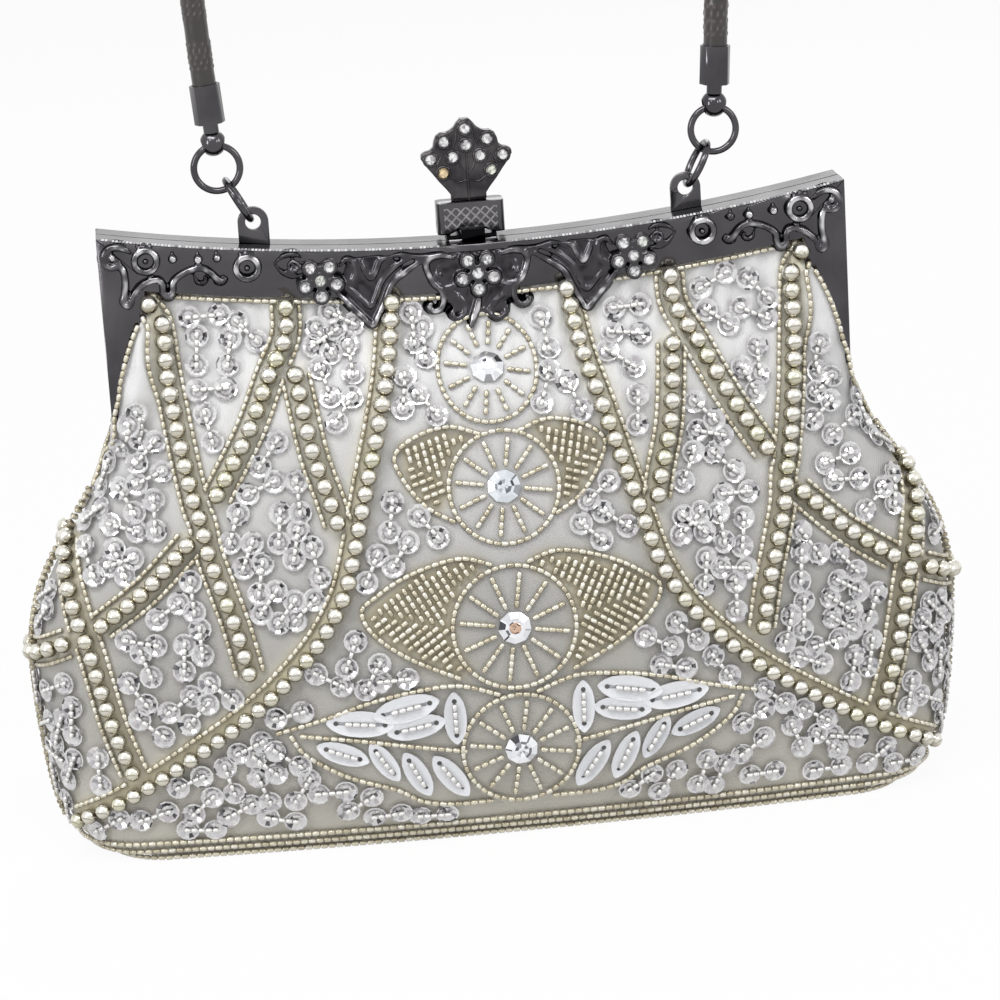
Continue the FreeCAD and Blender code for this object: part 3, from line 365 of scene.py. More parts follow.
def leaf_rows(outline, rib, wheel):
    """Slanted stitch rows of a leaf: from its rib outwards, between the wheel and the outline."""
    edge = flowing(outline, LEAF_EDGE_STEPS)
    foot, tip = Vector(rib[0]), Vector(rib[1])
    along = (tip - foot).normalized()
    lean_cos, lean_sin = math.cos(LEAF_LEAN), math.sin(LEAF_LEAN)
    places = []
    for flank in (1, -1):
        lay = Vector((along.x * lean_cos - flank * along.y * lean_sin,
                      flank * along.x * lean_sin + along.y * lean_cos))
        out = Vector((-along.y, along.x)) * flank
        for row in range(LEAF_FIRST_ROW, int((tip - foot).length / LEAF_GAP) + 1):
            start = foot + along * LEAF_GAP * (row + 0.25 * (flank + 1)) + out * LEAF_RIB_GAP
            for step in range(LEAF_ROW_LENGTH):
                place = start + lay * SEED_PITCH * step
                off_wheel = math.hypot(place.x - wheel[0], place.y - wheel[1]) - wheel[2]
                off_edge = min((place - spot).length for spot in edge)
                if off_wheel > LEAF_CLEAR and off_edge > LEAF_CLEAR and inside(place, edge):
                    places.append((place.x, place.y, lay))
    return places


def ramp(tree, guide, stops):
    """A colour that follows a guide value through (place, colour) stops."""
    node = add(tree, "ValToRGB", Fac=guide)
    while len(node.color_ramp.elements) < len(stops):
        node.color_ramp.elements.new(0.5)
    for element, (place, colour) in zip(node.color_ramp.elements, stops):
        element.position, element.color = place, (*colour, 1.0)
    return node.outputs["Color"]


def mixed(tree, factor, a, b, blend="MIX"):
    """The mix of two colours."""
    node = add(tree, "Mix")
    node.data_type, node.blend_type = "RGBA", blend
    return fill(tree, node, {"Factor": factor, "A": a, "B": b}).outputs["Result"]


def own_value(tree, name):
    node = add(tree, "Attribute")
    node.attribute_name = name
    return node.outputs["Fac"]


def object_place(tree):
    return add(tree, "TexCoord").outputs["Object"]


def object_axes(tree):
    return add(tree, "SeparateXYZ", Vector=object_place(tree)).outputs


def relief_on(tree, body, height, strength, depth, sunk=False):
    bump = add(tree, "Bump", Strength=strength, Distance=depth, Height=height)
    bump.invert = sunk
    feed(tree, body.inputs["Normal"], bump.outputs["Normal"])


def effect_group(name, inputs, outputs):
    """An empty shader effect: an input without a value is a map, all others are numbers."""
    group = bpy.data.node_groups.new(name, "ShaderNodeTree")
    for socket, value in inputs.items():
        kind = "NodeSocketVector" if value is None else "NodeSocketFloat"
        made = group.interface.new_socket(socket, in_out="INPUT", socket_type=kind)
        if value is not None:
            made.default_value = value
    for socket in outputs:
        group.interface.new_socket(socket, in_out="OUTPUT", socket_type="NodeSocketFloat")
    given, result = group.nodes.new("NodeGroupInput"), group.nodes.new("NodeGroupOutput")
    return group, given.outputs, result.inputs


def use_group(tree, group, **inputs):
    node = add(tree, "Group")
    node.node_tree = group
    return fill(tree, node, inputs).outputs


# woven threads: crossing ridges on the cloth's own map, with a slow unevenness of the yarn
weave_group, given, result = effect_group(
    "woven threads", {"Map": None, "Threads Across": 300.0, "Threads Up": 300.0, "Slubs": 40.0},
    ("Thread", "Slub"))
split = add(weave_group, "SeparateXYZ", Vector=given["Map"]).outputs
ridges = [calc(weave_group, "SINE", calc(weave_group, "MULTIPLY", split[axis], given[threads]))
          for axis, threads in (("X", "Threads Across"), ("Y", "Threads Up"))]
feed(weave_group, result["Thread"], calc(weave_group, "MULTIPLY", *ridges))
feed(weave_group, result["Slub"], add(weave_group, "TexNoise", Vector=given["Map"],
                                      Scale=given["Slubs"], Detail=4.0).outputs["Fac"])


def woven(tree, body, threads, relief):
    """Gives a finish the relief of its threads and hands back the yarn's unevenness."""
    weave = use_group(tree, weave_group, Map=add(tree, "UVMap").outputs["UV"],
                      Threads_Across=threads[0], Threads_Up=threads[1], Slubs=threads[2])
    relief_on(tree, body, weave["Thread"], *relief)
    return weave["Slub"]


satin, tree, body = new_finish("satin", Roughness=0.42, Sheen_Weight=0.25, Sheen_Roughness=0.4)
slub = woven(tree, body, SATIN_THREADS, SATIN_RELIEF)
# height up the bag: it guides the satin's painted shade and the painted light beside the strings
rising = add(tree, "MapRange", Value=object_axes(tree)["Z"], From_Min=0.0,
             From_Max=SILK_TOP).outputs[0]
# by the leaf stitches: khaki thread colour with painted shade
tone = mixed(tree, own_value(tree, "stitched"), ramp(tree, rising, SILK_TONES_AND_SHADE), THREAD_AND_SHADE_TONE)
# painted light beside the pearl strings, darker lower down
tone = mixed(tree, own_value(tree, "stringed"), tone, ramp(tree, rising, STRING_PAINTED_LIGHT_TONES))
tone = mixed(tree, SLUB_SHARE, tone, ramp(tree, slub, SLUB_TONES), "MULTIPLY")
feed(tree, body.inputs["Base Color"], tone)

leaf_stitches = []
for outline, rib, wheel in zip(LEAF_OUTLINES, LEAF_RIBS, WHEELS[1:3]):
    leaf_stitches += leaf_rows(outline, rib, wheel)
    leaf_stitches += leaf_rows(mirrored(outline, LEAF_SHIFT), mirrored(rib, LEAF_SHIFT), wheel)

marked_stitches = list(leaf_stitches)
for number, line in enumerate(PEARL_LINES):
    for marked, outer in ((line, 1.0), (mirrored(line), -1.0)):
        aside = outer * STRING_ASIDE if number == LONG_STRING else 0.0
        marked_stitches += stitches(marked, STRING_MARK_PITCH, FRONT, aside)
stitch_marks = KDTree(len(marked_stitches))
for number, (around, height, _) in enumerate(marked_stitches):
    stitch_marks.insert(cloth_point(around, height, FRONT), number)
stitch_marks.balance()


def cloth_sheet(name, columns, rows, bottom, top, side, lift, swell=True):
    """A panel from seam to seam: a flat grid laid onto the bag's form, lift millimetres out."""
    bpy.ops.object.select_all(action="DESELECT")
    bpy.ops.mesh.primitive_grid_add(x_subdivisions=columns, y_subdivisions=rows, size=1.0)
    sheet = bpy.context.object
    sheet.name = name
    for mark in ("stitched", "stringed"):
        sheet.data.attributes.new(mark, "FLOAT", "POINT")
    stitched, stringed = [sheet.data.attributes[mark] for mark in ("stitched", "stringed")]
    for vertex in sheet.data.vertices:
        height = bottom + (top - bottom) * (vertex.co.y + 0.5) ** ROW_SPREAD
        around = -side * 2.0 * vertex.co.x * half_girth(height)
        gathered = unit((height - GATHER_START) / GATHER_RUN)
        drift = noise(Vector((around, height, 0)) * DRIFT_FINENESS) * GATHER_DRIFT
        fold = math.sin(around / GATHER_PITCH * 2 * math.pi + drift)
        out = lift + GATHER_DEPTH * gathered * fold
        point = cloth_point(around, height, side, swell)
        out += RIPPLE_DEPTH * noise(point / RIPPLE_SIZE) * (1.0 - gathered)
        # nearness to the marked stitches: it dips the cloth, and the satin turns it into khaki
        # with painted shade by the leaves and painted light beside the pearl strings
        _, number, reach = stitch_marks.find(Vector((point.x, -abs(point.y), point.z)))
        near = math.exp(-(reach / SEAM_REACH) ** 2)
        on_leaf = number < len(leaf_stitches)
        mark, dip = (stitched, SEAM_DIP) if on_leaf else (stringed, STRING_DIP)
        mark.data[vertex.index].value = near
        vertex.co = (point + cloth_normal(around, height, side, swell) * (out - dip * near)) * MM
    return sheet


def only(piece):
    bpy.ops.object.select_all(action="DESELECT")
    bpy.context.view_layer.objects.active = piece
    piece.select_set(True)


def apply_all(piece):
    """Applies a piece's modifiers in their order."""
    only(piece)
    for modifier in list(piece.modifiers):
        bpy.ops.object.modifier_apply(modifier=modifier.name)


def thicken(piece, thickness):
    """Gives a sheet its thickness, inwards."""
    sheet = piece.modifiers.new("thickness", "SOLIDIFY")
    sheet.thickness, sheet.offset = thickness, -1.0
    apply_all(piece)


for side, (word, half) in HALVES.items():
    panel = cloth_sheet(f"{word}_satin", CLOTH_COLUMNS, CLOTH_ROWS, CLOTH_FOOT, CLOTH_TOP, side,
                        CLOTH_IN)
    thicken(panel, CLOTH_THICKNESS)
    bpy.ops.object.shade_smooth()
    panel.data.materials.append(satin)
    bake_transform(panel)
    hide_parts(f"{word}_panel_lower", f"{word}_panel_upper")


# The base is an oval of the same satin over a board, turned in under the
# panels' lower edges and oversewn all round.
BASE_SEGMENTS, BASE_HEIGHT = 128, 0.3
BASE_STEPS = ((0.0012, -0.00022), (0.004, 0.0001), (0.006, 0.0003))
MAP_WIDTH, MAP_HEIGHT = 0.226, 0.131


def to_edit(piece):
    only(piece)
    bpy.ops.object.mode_set(mode="EDIT")


def face_outwards():
    """Turns all faces of the piece in edit mode outwards and leaves edit mode."""
    bpy.ops.mesh.select_all(action="SELECT")
    bpy.ops.mesh.normals_make_consistent(inside=False)
    bpy.ops.object.mode_set(mode="OBJECT")


def inset_all(piece, steps):
    """Draws a flat face in, ring by ring, by (width, rise) steps; stays in edit mode."""
    to_edit(piece)
    bpy.ops.mesh.select_all(action="SELECT")
    for width, rise in steps:
        bpy.ops.mesh.inset(thickness=width, depth=rise)


bpy.ops.object.select_all(action="DESELECT")
bpy.ops.mesh.primitive_circle_add(vertices=BASE_SEGMENTS, radius=1.0, fill_type="NGON")
base = bpy.context.object
base.name = "base_satin"
girth = half_girth(0.0)
for vertex in base.data.vertices:
    turn = math.atan2(vertex.co.x, -vertex.co.y) / math.pi
    if abs(turn) <= 0.5:
        point = cloth_point(turn * 2 * girth, 0.0, FRONT)
    else:
        point = cloth_point(math.copysign(1.0 - abs(turn), turn) * 2 * girth, 0.0, BACK)
    vertex.co = Vector((point.x, point.y, BASE_HEIGHT)) * MM
inset_all(base, BASE_STEPS)
face_outwards()
thicken(base, CLOTH_THICKNESS)
bpy.ops.object.shade_smooth()
base_map = base.data.uv_layers.active or base.data.uv_layers.new(name="UVMap")
base_map.name = "UVMap"
for loop in base.data.loops:
    spot = base.data.vertices[loop.vertex_index].co
    base_map.data[loop.index].uv = (spot.x / MAP_WIDTH + 0.5, spot.y / MAP_HEIGHT + 0.5)
base.data.materials.append(satin)
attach(base, "pouch")
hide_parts("base_panel")


# The lining is a plain-woven cotton bag of the same cut, a little smaller,
# caught into the frame's channels together with the satin.
LINING_FOOT, LINING_TOP, LINING_IN, LINING_THICKNESS = 2.4, 127.0, -1.75, 0.0003
LINING_COLUMNS, LINING_ROWS = 96, 64
COTTON_THREADS, COTTON_RELIEF = (1500.0, 950.0, 60.0), (0.5, 0.00015)
COTTON_TONES = ((0.25, (0.60, 0.575, 0.52)), (0.75, (0.74, 0.72, 0.67)))
cotton, tree, body = new_finish("lining_cotton", Roughness=0.85)
slub = woven(tree, body, COTTON_THREADS, COTTON_RELIEF)
feed(tree, body.inputs["Base Color"], ramp(tree, slub, COTTON_TONES))

for side, (word, half) in HALVES.items():
    lining = cloth_sheet(f"{word}_lining", LINING_COLUMNS, LINING_ROWS, LINING_FOOT, LINING_TOP,
                         side, LINING_IN, swell=False)
    thicken(lining, LINING_THICKNESS)
    bpy.ops.object.shade_smooth()
    lining.data.materials.append(cotton)
    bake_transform(lining)
    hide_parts(f"{word}_lining_lower", f"{word}_lining_upper")


# Grey board stiffens the base under the lining, and twisted paper cord wedges
# the cloth in the frame's channels: both are hidden once the bag is made up.
BOARD_TONES = ((0.3, (0.30, 0.285, 0.26)), (0.7, (0.42, 0.405, 0.375)))
PAPER_CORD_TONES = ((0.0, (0.50, 0.42, 0.30)), (1.0, (0.68, 0.60, 0.46)))
board, tree, body = new_finish("grey_board", Roughness=0.92)
fibre = add(tree, "TexNoise", Vector=object_place(tree), Scale=900.0, Detail=6.0)
feed(tree, body.inputs["Base Color"], ramp(tree, fibre.outputs["Fac"], BOARD_TONES))

paper_cord, tree, body = new_finish("twisted_paper", Roughness=0.88)
twist = add(tree, "TexWave", Vector=object_place(tree), Scale=420.0, Distortion=1.5)
twist.bands_direction = "DIAGONAL"
feed(tree, body.inputs["Base Color"], ramp(tree, twist.outputs["Fac"], PAPER_CORD_TONES))


def dress(finish, *nodes):
    """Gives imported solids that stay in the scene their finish."""
    for node in nodes:
        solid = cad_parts[node]
        solid.data.materials.clear()
        solid.data.materials.append(finish)


dress(board, "base_stiffener")
dress(paper_cord, "front_channel_cord", "back_channel_cord")


# The frame is two hoops of folded brass channel, plated black nickel and
# polished, riveted together at the feet so that they open like a mouth.
NICKEL_TONES = (0.066, 0.063, 0.068), (0.102, 0.098, 0.104)
CAST_TONES = (0.040, 0.037, 0.040), (0.088, 0.082, 0.086)
# near-black tones painted as the shade under the clasp's collar
SHADE_BLACK_TONES = (0.008, 0.008, 0.009), (0.014, 0.013, 0.014)
STEEL_TONES = (0.10, 0.10, 0.11), (0.15, 0.15, 0.16)
SCRATCH_TURN, SCRATCH_STRETCH, SCRATCH_RELIEF = (0.3, 0.5, 0.4), (1.0, 1.0, 9.0), (0.06, 0.00005)
CORNER_PLACE, ARM_WIDTH = (0.0825, 0.141), 0.0085
MITRE_GAP, MITRE_TONE = 0.00011, (0.008, 0.008, 0.009)
MERGE_REACH, FLAT_ANGLE, EDGE_ANGLE, HOOP_EDGE = 0.000002, 0.6, 32, 0.00035
handling_group, given, result = effect_group(
    "handled plating", {"Fine": 600.0, "Broad": 60.0}, ("Smudge", "Scratch"))
place = object_place(handling_group)
smudge = add(handling_group, "TexNoise", Vector=place, Scale=given["Broad"], Detail=5.0)
stretch = add(handling_group, "Mapping", Vector=place, Rotation=SCRATCH_TURN,
              Scale=SCRATCH_STRETCH)
scratch = add(handling_group, "TexNoise", Vector=stretch.outputs[0], Scale=given["Fine"],
              Detail=3.0)
feed(handling_group, result["Smudge"], smudge.outputs["Fac"])
feed(handling_group, result["Scratch"], scratch.outputs["Fac"])


def plated(name, tones, smooth, dull, broad, fine, metal=1.0, **inputs):
    """A plated and polished metal with handling smudges and fine scratches."""
    finish, tree, body = new_finish(name, Metallic=metal, **inputs)
    handling = use_group(tree, handling_group, Broad=broad, Fine=fine)
    stops = (0.35, tones[0]), (0.65, tones[1])
    feed(tree, body.inputs["Base Color"], ramp(tree, handling["Smudge"], stops))
    gloss = add(tree, "MapRange", Value=handling["Smudge"], From_Min=0.3, From_Max=0.7,
                To_Min=smooth, To_Max=dull)
    feed(tree, body.inputs["Roughness"], gloss.outputs[0])
    relief_on(tree, body, handling["Scratch"], *SCRATCH_RELIEF)
    return finish


def variant(base, name):
    """A copy of a finish, with its tree, its body and the colour that it has so far."""
    finish = base.copy()
    finish.name = name
    tree = finish.node_tree
    body = tree.nodes["Principled BSDF"]
    return finish, tree, body, body.inputs["Base Color"].links[0].from_socket


black_nickel = plated("black_nickel", NICKEL_TONES, 0.10, 0.20, 60.0, 700.0)
cast_nickel = plated("cast_nickel", CAST_TONES, 0.09, 0.15, 220.0, 900.0)
# painted shade: a dull near-black finish for the clasp's catch, bracket and pin, which stand in
# the shade under the collar
painted_shade_black = plated("painted_shade_black", SHADE_BLACK_TONES, 0.30, 0.45, 120.0, 900.0, 0.0,
                     Specular_IOR_Level=0.2)
spring_steel = plated("spring_steel", STEEL_TONES, 0.22, 0.34, 120.0, 1200.0)


def break_edges(piece, edge, segments, angle):
    bevel = piece.modifiers.new("broken edges", "BEVEL")
    bevel.width, bevel.segments = edge, segments
    bevel.limit_method, bevel.angle_limit = "ANGLE", math.radians(angle)
    return bevel


def softened(node, name, edge, segments=2):
    """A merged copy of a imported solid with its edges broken, which stands for it."""
    piece = bpy.data.objects.new(name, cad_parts[node].data.copy())
    bpy.context.collection.objects.link(piece)
    only(piece)
    bpy.ops.mesh.customdata_custom_splitnormals_clear()
    bpy.ops.object.mode_set(mode="EDIT")
    bpy.ops.mesh.select_all(action="SELECT")
    bpy.ops.mesh.remove_doubles(threshold=MERGE_REACH)
    bpy.ops.mesh.dissolve_limited(angle_limit=math.radians(FLAT_ANGLE))
    bpy.ops.object.mode_set(mode="OBJECT")
    bevel = break_edges(piece, edge, segments, EDGE_ANGLE)
    bevel.harden_normals, bevel.use_clamp_overlap = True, True
    apply_all(piece)
    piece.data.materials.clear()
    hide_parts(node)
    return piece


def smooth_faces(piece, angle=35):
    only(piece)
    bpy.ops.object.shade_smooth_by_angle(angle=math.radians(angle))


mitred_nickel, tree, body, tone = variant(black_nickel, "mitred_nickel")
split = object_axes(tree)
across = calc(tree, "ABSOLUTE", split["X"])
off_line = calc(tree, "ADD", calc(tree, "SUBTRACT", across, split["Z"]),
                CORNER_PLACE[1] - CORNER_PLACE[0])
on_line = calc(tree, "LESS_THAN", calc(tree, "ABSOLUTE", off_line), MITRE_GAP)
at_corner = calc(tree, "GREATER_THAN", across, CORNER_PLACE[0] - ARM_WIDTH)
mitre = calc(tree, "MULTIPLY", on_line, at_corner)
feed(tree, body.inputs["Base Color"], mixed(tree, mitre, tone, MITRE_TONE))

for word, half in HALVES.values():
    hoop = softened(f"{word}_frame", f"{word}_hoop", HOOP_EDGE)
    smooth_faces(hoop)
    hoop.data.materials.append(mitred_nickel)
    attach(hoop, half)

dress(black_nickel, "hinge_rivet_left", "hinge_rivet_right")
# painted shade on the catch, bracket and pin
dress(painted_shade_black, "clasp_catch", "clasp_bracket", "clasp_pin")
dress(spring_steel, "clasp_spring")


# The beading: glass pearls, silver-lined seed beads, clear sequins and white
# leaf sequins, sewn on by hand through the satin, the same on both panels.
# Pearls lie in strings with a seed row on each side; the cloth shows between.
QUARTER = math.pi / 2
PEARL_RADIUS, PEARL_PITCH, PEARL_LIFT, PEARL_HOLE = 0.00204, 3.95, 1.60, 0.0005
PEARL_SMALL, PEARL_LARGE, PEARL_TOP = 0.86, 1.04, 110.0
SEED_RADIUS, SEED_LENGTH, SEED_EDGE, SEED_LIFT = 0.00059, 0.00168, 0.00026, 0.35
SEED_ROW_OFFSET, SEED_ROW_END, SEED_OFF_PEARLS = 3.02, 0.4, 2.7
SEQUIN_RADIUS, SEQUIN_SIDES, SEQUIN_FILM = 0.00268, 12, 0.00009
SEQUIN_STEPS = ((0.0004, -0.00005), (0.0009, -0.00050), (0.0007, 0.00012))
SEQUIN_ARM, SEQUIN_TRIES, SEQUIN_GAP, SEQUIN_LIFT = 3.35, 42000, 3.75, 0.75
LINK_SIZE, LINK_LIFT, LINK_STEPS = 0.9, 1.0, (-1.04, -0.52, 0.0, 0.52, 1.04)
MIRROR_RADIUS, MIRROR_TABLE, MIRROR_SIDES, MIRROR_HEIGHT = 0.0039, 0.0023, 9, 0.0009
MIRROR_STEPS, MIRROR_FOOT, MIRROR_EDGE = ((0.0006, 0.00012), (0.0008, -0.00010)), -0.0004, 0.0002
MIRROR_LIFT, TINTED_WHEEL, BROWN_WHEEL, BROWN_LIFT, BROWN_SIZE = 0.9, 1, 2, 1.25, 0.56
NAVETTE_LENGTH, NAVETTE_WIDTH, NAVETTE_SIDES, NAVETTE_FILM = 0.0140, 0.0056, 20, 0.0003
NAVETTE_STEPS, NAVETTE_TAPER = ((0.0007, -0.00015), (0.0008, -0.00012)), 0.45
NAVETTE_LIFT, EYE_RADIUS, EYE_HEIGHT, EYE_INSET, EYE_LIFT = 0.75, 0.00055, 0.00012, 2.2, 0.62
NAVETTES = (
    ((15.6, 25.1), (15.8, 37.6)), ((33.8, 32.9), (19.0, 35.9)), ((31.0, 28.7), (17.8, 31.1)),
    ((44.3, 32.3), (29.1, 30.8)), ((21.1, 22.7), (13.6, 12.1)), ((27.5, 24.1), (22.1, 13.0)),
    ((34.9, 26.8), (28.9, 17.3)), ((46.7, 26.9), (35.3, 22.4)),
)
RIM_STEPS, SPOKES, HUB, RIM_GAP = 20, 12, 5.2, 2.2
BASE_ROWS, BASE_ROW_END = (0.9, 2.8, 4.8), 0.5
BORDER_HEIGHTS = (85.0, 92.0, 99.0, 105.0, 111.0, 116.0, 120.5)
BORDER_INSET, BORDER_LIFT, BAR_ROW_LIFT = 1.1, 0.6, 0.5
SEAM_FOOT, SEAM_PITCH, SEAM_SEEDS, SEAM_LIFT = 9.0, 1.45, 52, 0.9
SEAM_INSETS, SEAM_LEAN = (0.4, 1.3), 0.5
BAR_FOOT_RADIUS, BAR_ARC_MIDDLE, BAR_ROW_DROP, BAR_ROW_END = 450.698, 573.398, 1.1, 71
SEQUIN_HEIGHTS, SEQUIN_LIMITS, ARM_SIZES = (7.0, 124.0), (7.5, 122.5), (0.86, 1.0)
SEQUIN_INSET, NECK_INSET, NECK_FOOT, ANY_TURN = 1.5, 4.2, 94.0, (0, 6.28)
NAVETTE_SEEDS, NAVETTE_SEED_LIFT, NAVETTE_CORE = 4, 1.05, (-4.0, 0.0, 4.0)
UNDER_ORNAMENT = [(x, 118.5, 4.5) for x in range(-9, 10, 3)]
UNDER_ORNAMENT += [(-24.0, 121.0, 5.0), (24.0, 121.0, 5.0)]
LAY_STEP, RISE_SHARE, UP_SHARE = 0.3, 0.64, 0.36
GLINT_TOP, GLINT_FROM, GLINT_TO = 0.88, 0.42, 0.68
OFF_SEEDS, OFF_PEARLS, OFF_LEAVES, OFF_NAVETTES, OFF_HUB, OFF_RIM = 2.25, 3.8, 3.1, 5.6, 8.0, 2.3
rng = random.Random(29)


def select_where(piece, kind, test):
    """In edit mode, selects the vertices, edges or faces that pass a test."""
    mode = {"verts": "VERT", "edges": "EDGE", "faces": "FACE"}[kind]
    bpy.ops.mesh.select_all(action="DESELECT")
    bpy.ops.mesh.select_mode(type=mode)
    form = bmesh.from_edit_mesh(piece.data)
    for element in getattr(form, kind):
        element.select_set(test(element))
    form.select_flush_mode()
    bmesh.update_edit_mesh(piece.data)


def sew_on(name, shape, places):
    """One piece of many copies of a small shape, each at its own place, with its own values:
    a tint, a random value for each facet that the finishes turn into painted facet reflections,
    a rise from the cloth mixed with the upward turn, for painted shade below and painted light
    above, and the upward turn, with a band of it raised to a glint, for painted reflections."""
    corners = np.array([vertex.co for vertex in shape.data.vertices])
    walls = [tuple(face.vertices) for face in shape.data.polygons]
    smooth = [face.use_smooth for face in shape.data.polygons]
    low, high = corners[:, 2].min(), corners[:, 2].max()
    rise = (corners[:, 2] - low) / max(high - low, 1e-6)
    points, faces, tints, rises, ups = [], [], [], [], []
    for number, (turn, tint) in enumerate(places):
        turn = np.array(turn)
        points.append(corners @ turn[:3, :3].T + turn[:3, 3])
        upward = corners @ turn[2, :3]
        share = 0.5 + 0.5 * upward / np.abs(upward).max()
        rises.append(RISE_SHARE * rise + UP_SHARE * share)
        glint = (rise < GLINT_TOP) & (share > GLINT_FROM) & (share < GLINT_TO)
        ups.append(np.where(glint, GLINT_TO, share))
        faces += [tuple(corner + number * len(corners) for corner in wall) for wall in walls]
        tints += [tint] * len(walls)
    mesh = bpy.data.meshes.new(name)
    mesh.from_pydata(np.concatenate(points), [], faces)
    mesh.polygons.foreach_set("use_smooth", smooth * len(places))
    for value, domain, values in (
            ("tint", "FACE", tints), ("facet", "FACE", [rng.random() for _ in faces]),
            ("rise", "POINT", np.concatenate(rises)), ("up", "POINT", np.concatenate(ups))):
        mesh.attributes.new(value, "FLOAT", domain).data.foreach_set("value", values)
    piece = bpy.data.objects.new(name, mesh)
    bpy.context.collection.objects.link(piece)
    return piece


def laid(around, height, along, side, lift, turn=0.0, size=1.0):
    """A bead's place: its length along the stitch, its top away from the cloth, lift mm up."""
    step = Vector((along[0], along[1])).normalized() * LAY_STEP
    spot = cloth_point(around, height, side)
    ahead = (cloth_point(around + step.x, height + step.y, side)
             - cloth_point(around - step.x, height - step.y, side)).normalized()
    up = cloth_normal(around, height, side)
    wide = up.cross(ahead).normalized()
    ahead = wide.cross(up)
    if turn:
        ahead, wide = (ahead * math.cos(turn) + wide * math.sin(turn),
                       wide * math.cos(turn) - ahead * math.sin(turn))
    place = Matrix((ahead * size, wide * size, up * size)).transposed().to_4x4()
    place.translation = (spot + up * lift) * MM
    return place


bpy.ops.object.select_all(action="DESELECT")
bpy.ops.mesh.primitive_cylinder_add(vertices=6, radius=SEED_RADIUS, depth=SEED_LENGTH,
                                    rotation=(0, QUARTER, 0))
seed = bpy.context.object
bpy.ops.object.transform_apply(location=False, rotation=True, scale=False)
to_edit(seed)
select_where(seed, "edges", lambda edge: abs(edge.verts[0].co.x - edge.verts[1].co.x) < 1e-6)
bpy.ops.mesh.bevel(offset=SEED_EDGE, segments=1, affect="EDGES")
bpy.ops.object.mode_set(mode="OBJECT")
bpy.ops.object.shade_smooth()

bpy.ops.mesh.primitive_uv_sphere_add(segments=16, ring_count=9, radius=PEARL_RADIUS,
                                     rotation=(0, QUARTER, 0))
pearl = bpy.context.object
bpy.ops.object.transform_apply(location=False, rotation=True, scale=False)
to_edit(pearl)
select_where(pearl, "verts", lambda vertex: abs(vertex.co.x) > PEARL_RADIUS * 0.99)
bpy.ops.mesh.bevel(offset=PEARL_HOLE, segments=1, affect="VERTICES")
bpy.ops.object.mode_set(mode="OBJECT")
bpy.ops.object.shade_smooth()

bpy.ops.mesh.primitive_circle_add(vertices=SEQUIN_SIDES, radius=SEQUIN_RADIUS, fill_type="NGON")
sequin = bpy.context.object
inset_all(sequin, SEQUIN_STEPS)
bpy.ops.mesh.delete(type="FACE")
bpy.ops.object.mode_set(mode="OBJECT")
thicken(sequin, SEQUIN_FILM)


def cut_blank(sides, foot, table, height):
    """A flat cone with its table selected, in edit mode."""
    bpy.ops.object.select_all(action="DESELECT")
    bpy.ops.mesh.primitive_cone_add(vertices=sides, radius1=foot, radius2=table, depth=height)
    blank = bpy.context.object
    to_edit(blank)
    select_where(blank, "faces",
                 lambda face: len(face.verts) == sides and face.calc_center_median().z > 0)
    return blank


mirror = cut_blank(MIRROR_SIDES, MIRROR_RADIUS, MIRROR_TABLE, MIRROR_HEIGHT)
for width, rise in MIRROR_STEPS:
    bpy.ops.mesh.inset(thickness=width, depth=rise)
bpy.ops.mesh.poke()
select_where(mirror, "edges",
             lambda edge: min(vertex.co.z for vertex in edge.verts) < MIRROR_FOOT)
bpy.ops.mesh.bevel(offset=MIRROR_EDGE, segments=1, affect="EDGES")
bpy.ops.object.mode_set(mode="OBJECT")

bpy.ops.object.select_all(action="DESELECT")
bpy.ops.mesh.primitive_circle_add(vertices=NAVETTE_SIDES, radius=1.0, fill_type="NGON")
navette = bpy.context.object
for vertex in navette.data.vertices:
    taper = 1.0 - NAVETTE_TAPER * abs(vertex.co.x) ** 6
    vertex.co = (vertex.co.x * NAVETTE_LENGTH / 2, vertex.co.y * NAVETTE_WIDTH / 2 * taper, 0.0)
inset_all(navette, NAVETTE_STEPS)
bpy.ops.object.mode_set(mode="OBJECT")
thicken(navette, NAVETTE_FILM)

bpy.ops.object.select_all(action="DESELECT")
bpy.ops.mesh.primitive_cylinder_add(vertices=10, radius=EYE_RADIUS, depth=EYE_HEIGHT)
eye = bpy.context.object


def sewn_finish(name, guide, stops, metal, gloss, coat=0.0, tints=(), **inputs):
    """A finish whose colour follows one of a piece's own values, times the tints of others."""
    finish, tree, body = new_finish(name, Metallic=metal, Roughness=gloss, Coat_Weight=coat,
                                    Coat_Roughness=0.04, **inputs)
    tone = ramp(tree, own_value(tree, guide), stops)
    for other, shades in tints:
        tone = mixed(tree, 1.0, tone, ramp(tree, own_value(tree, other), shades), "MULTIPLY")
    feed(tree, body.inputs["Base Color"], tone)
    return finish


# painted light on the pearls: the rise makes them dark below and bright on top, and the upward
# turn paints a dark reflected band and highlights
pearl_finish = sewn_finish(
    "champagne_pearl", "rise",
    ((0.08, (0.07, 0.06, 0.035)), (0.34, (0.22, 0.195, 0.135)), (0.52, (0.40, 0.37, 0.29)),
     (0.66, (0.60, 0.575, 0.50)), (0.82, (0.82, 0.805, 0.745)), (1.0, (0.94, 0.93, 0.89))),
    0.92, 0.15, 0.3,
    (("tint", ((0.0, WHITE), (0.78, (1.0, 0.99, 0.95)), (0.90, (0.97, 0.97, 0.88)),
               (1.0, (0.94, 0.95, 0.82)))),
     ("up", ((0.0, (0.60, 0.57, 0.53)), (0.30, (0.86, 0.85, 0.83)), (0.46, (0.80, 0.79, 0.77)),
             (0.53, (0.42, 0.40, 0.37)), (0.60, (0.95, 0.95, 0.94)), (0.68, WHITE),
             (1.0, (0.84, 0.83, 0.81))))))
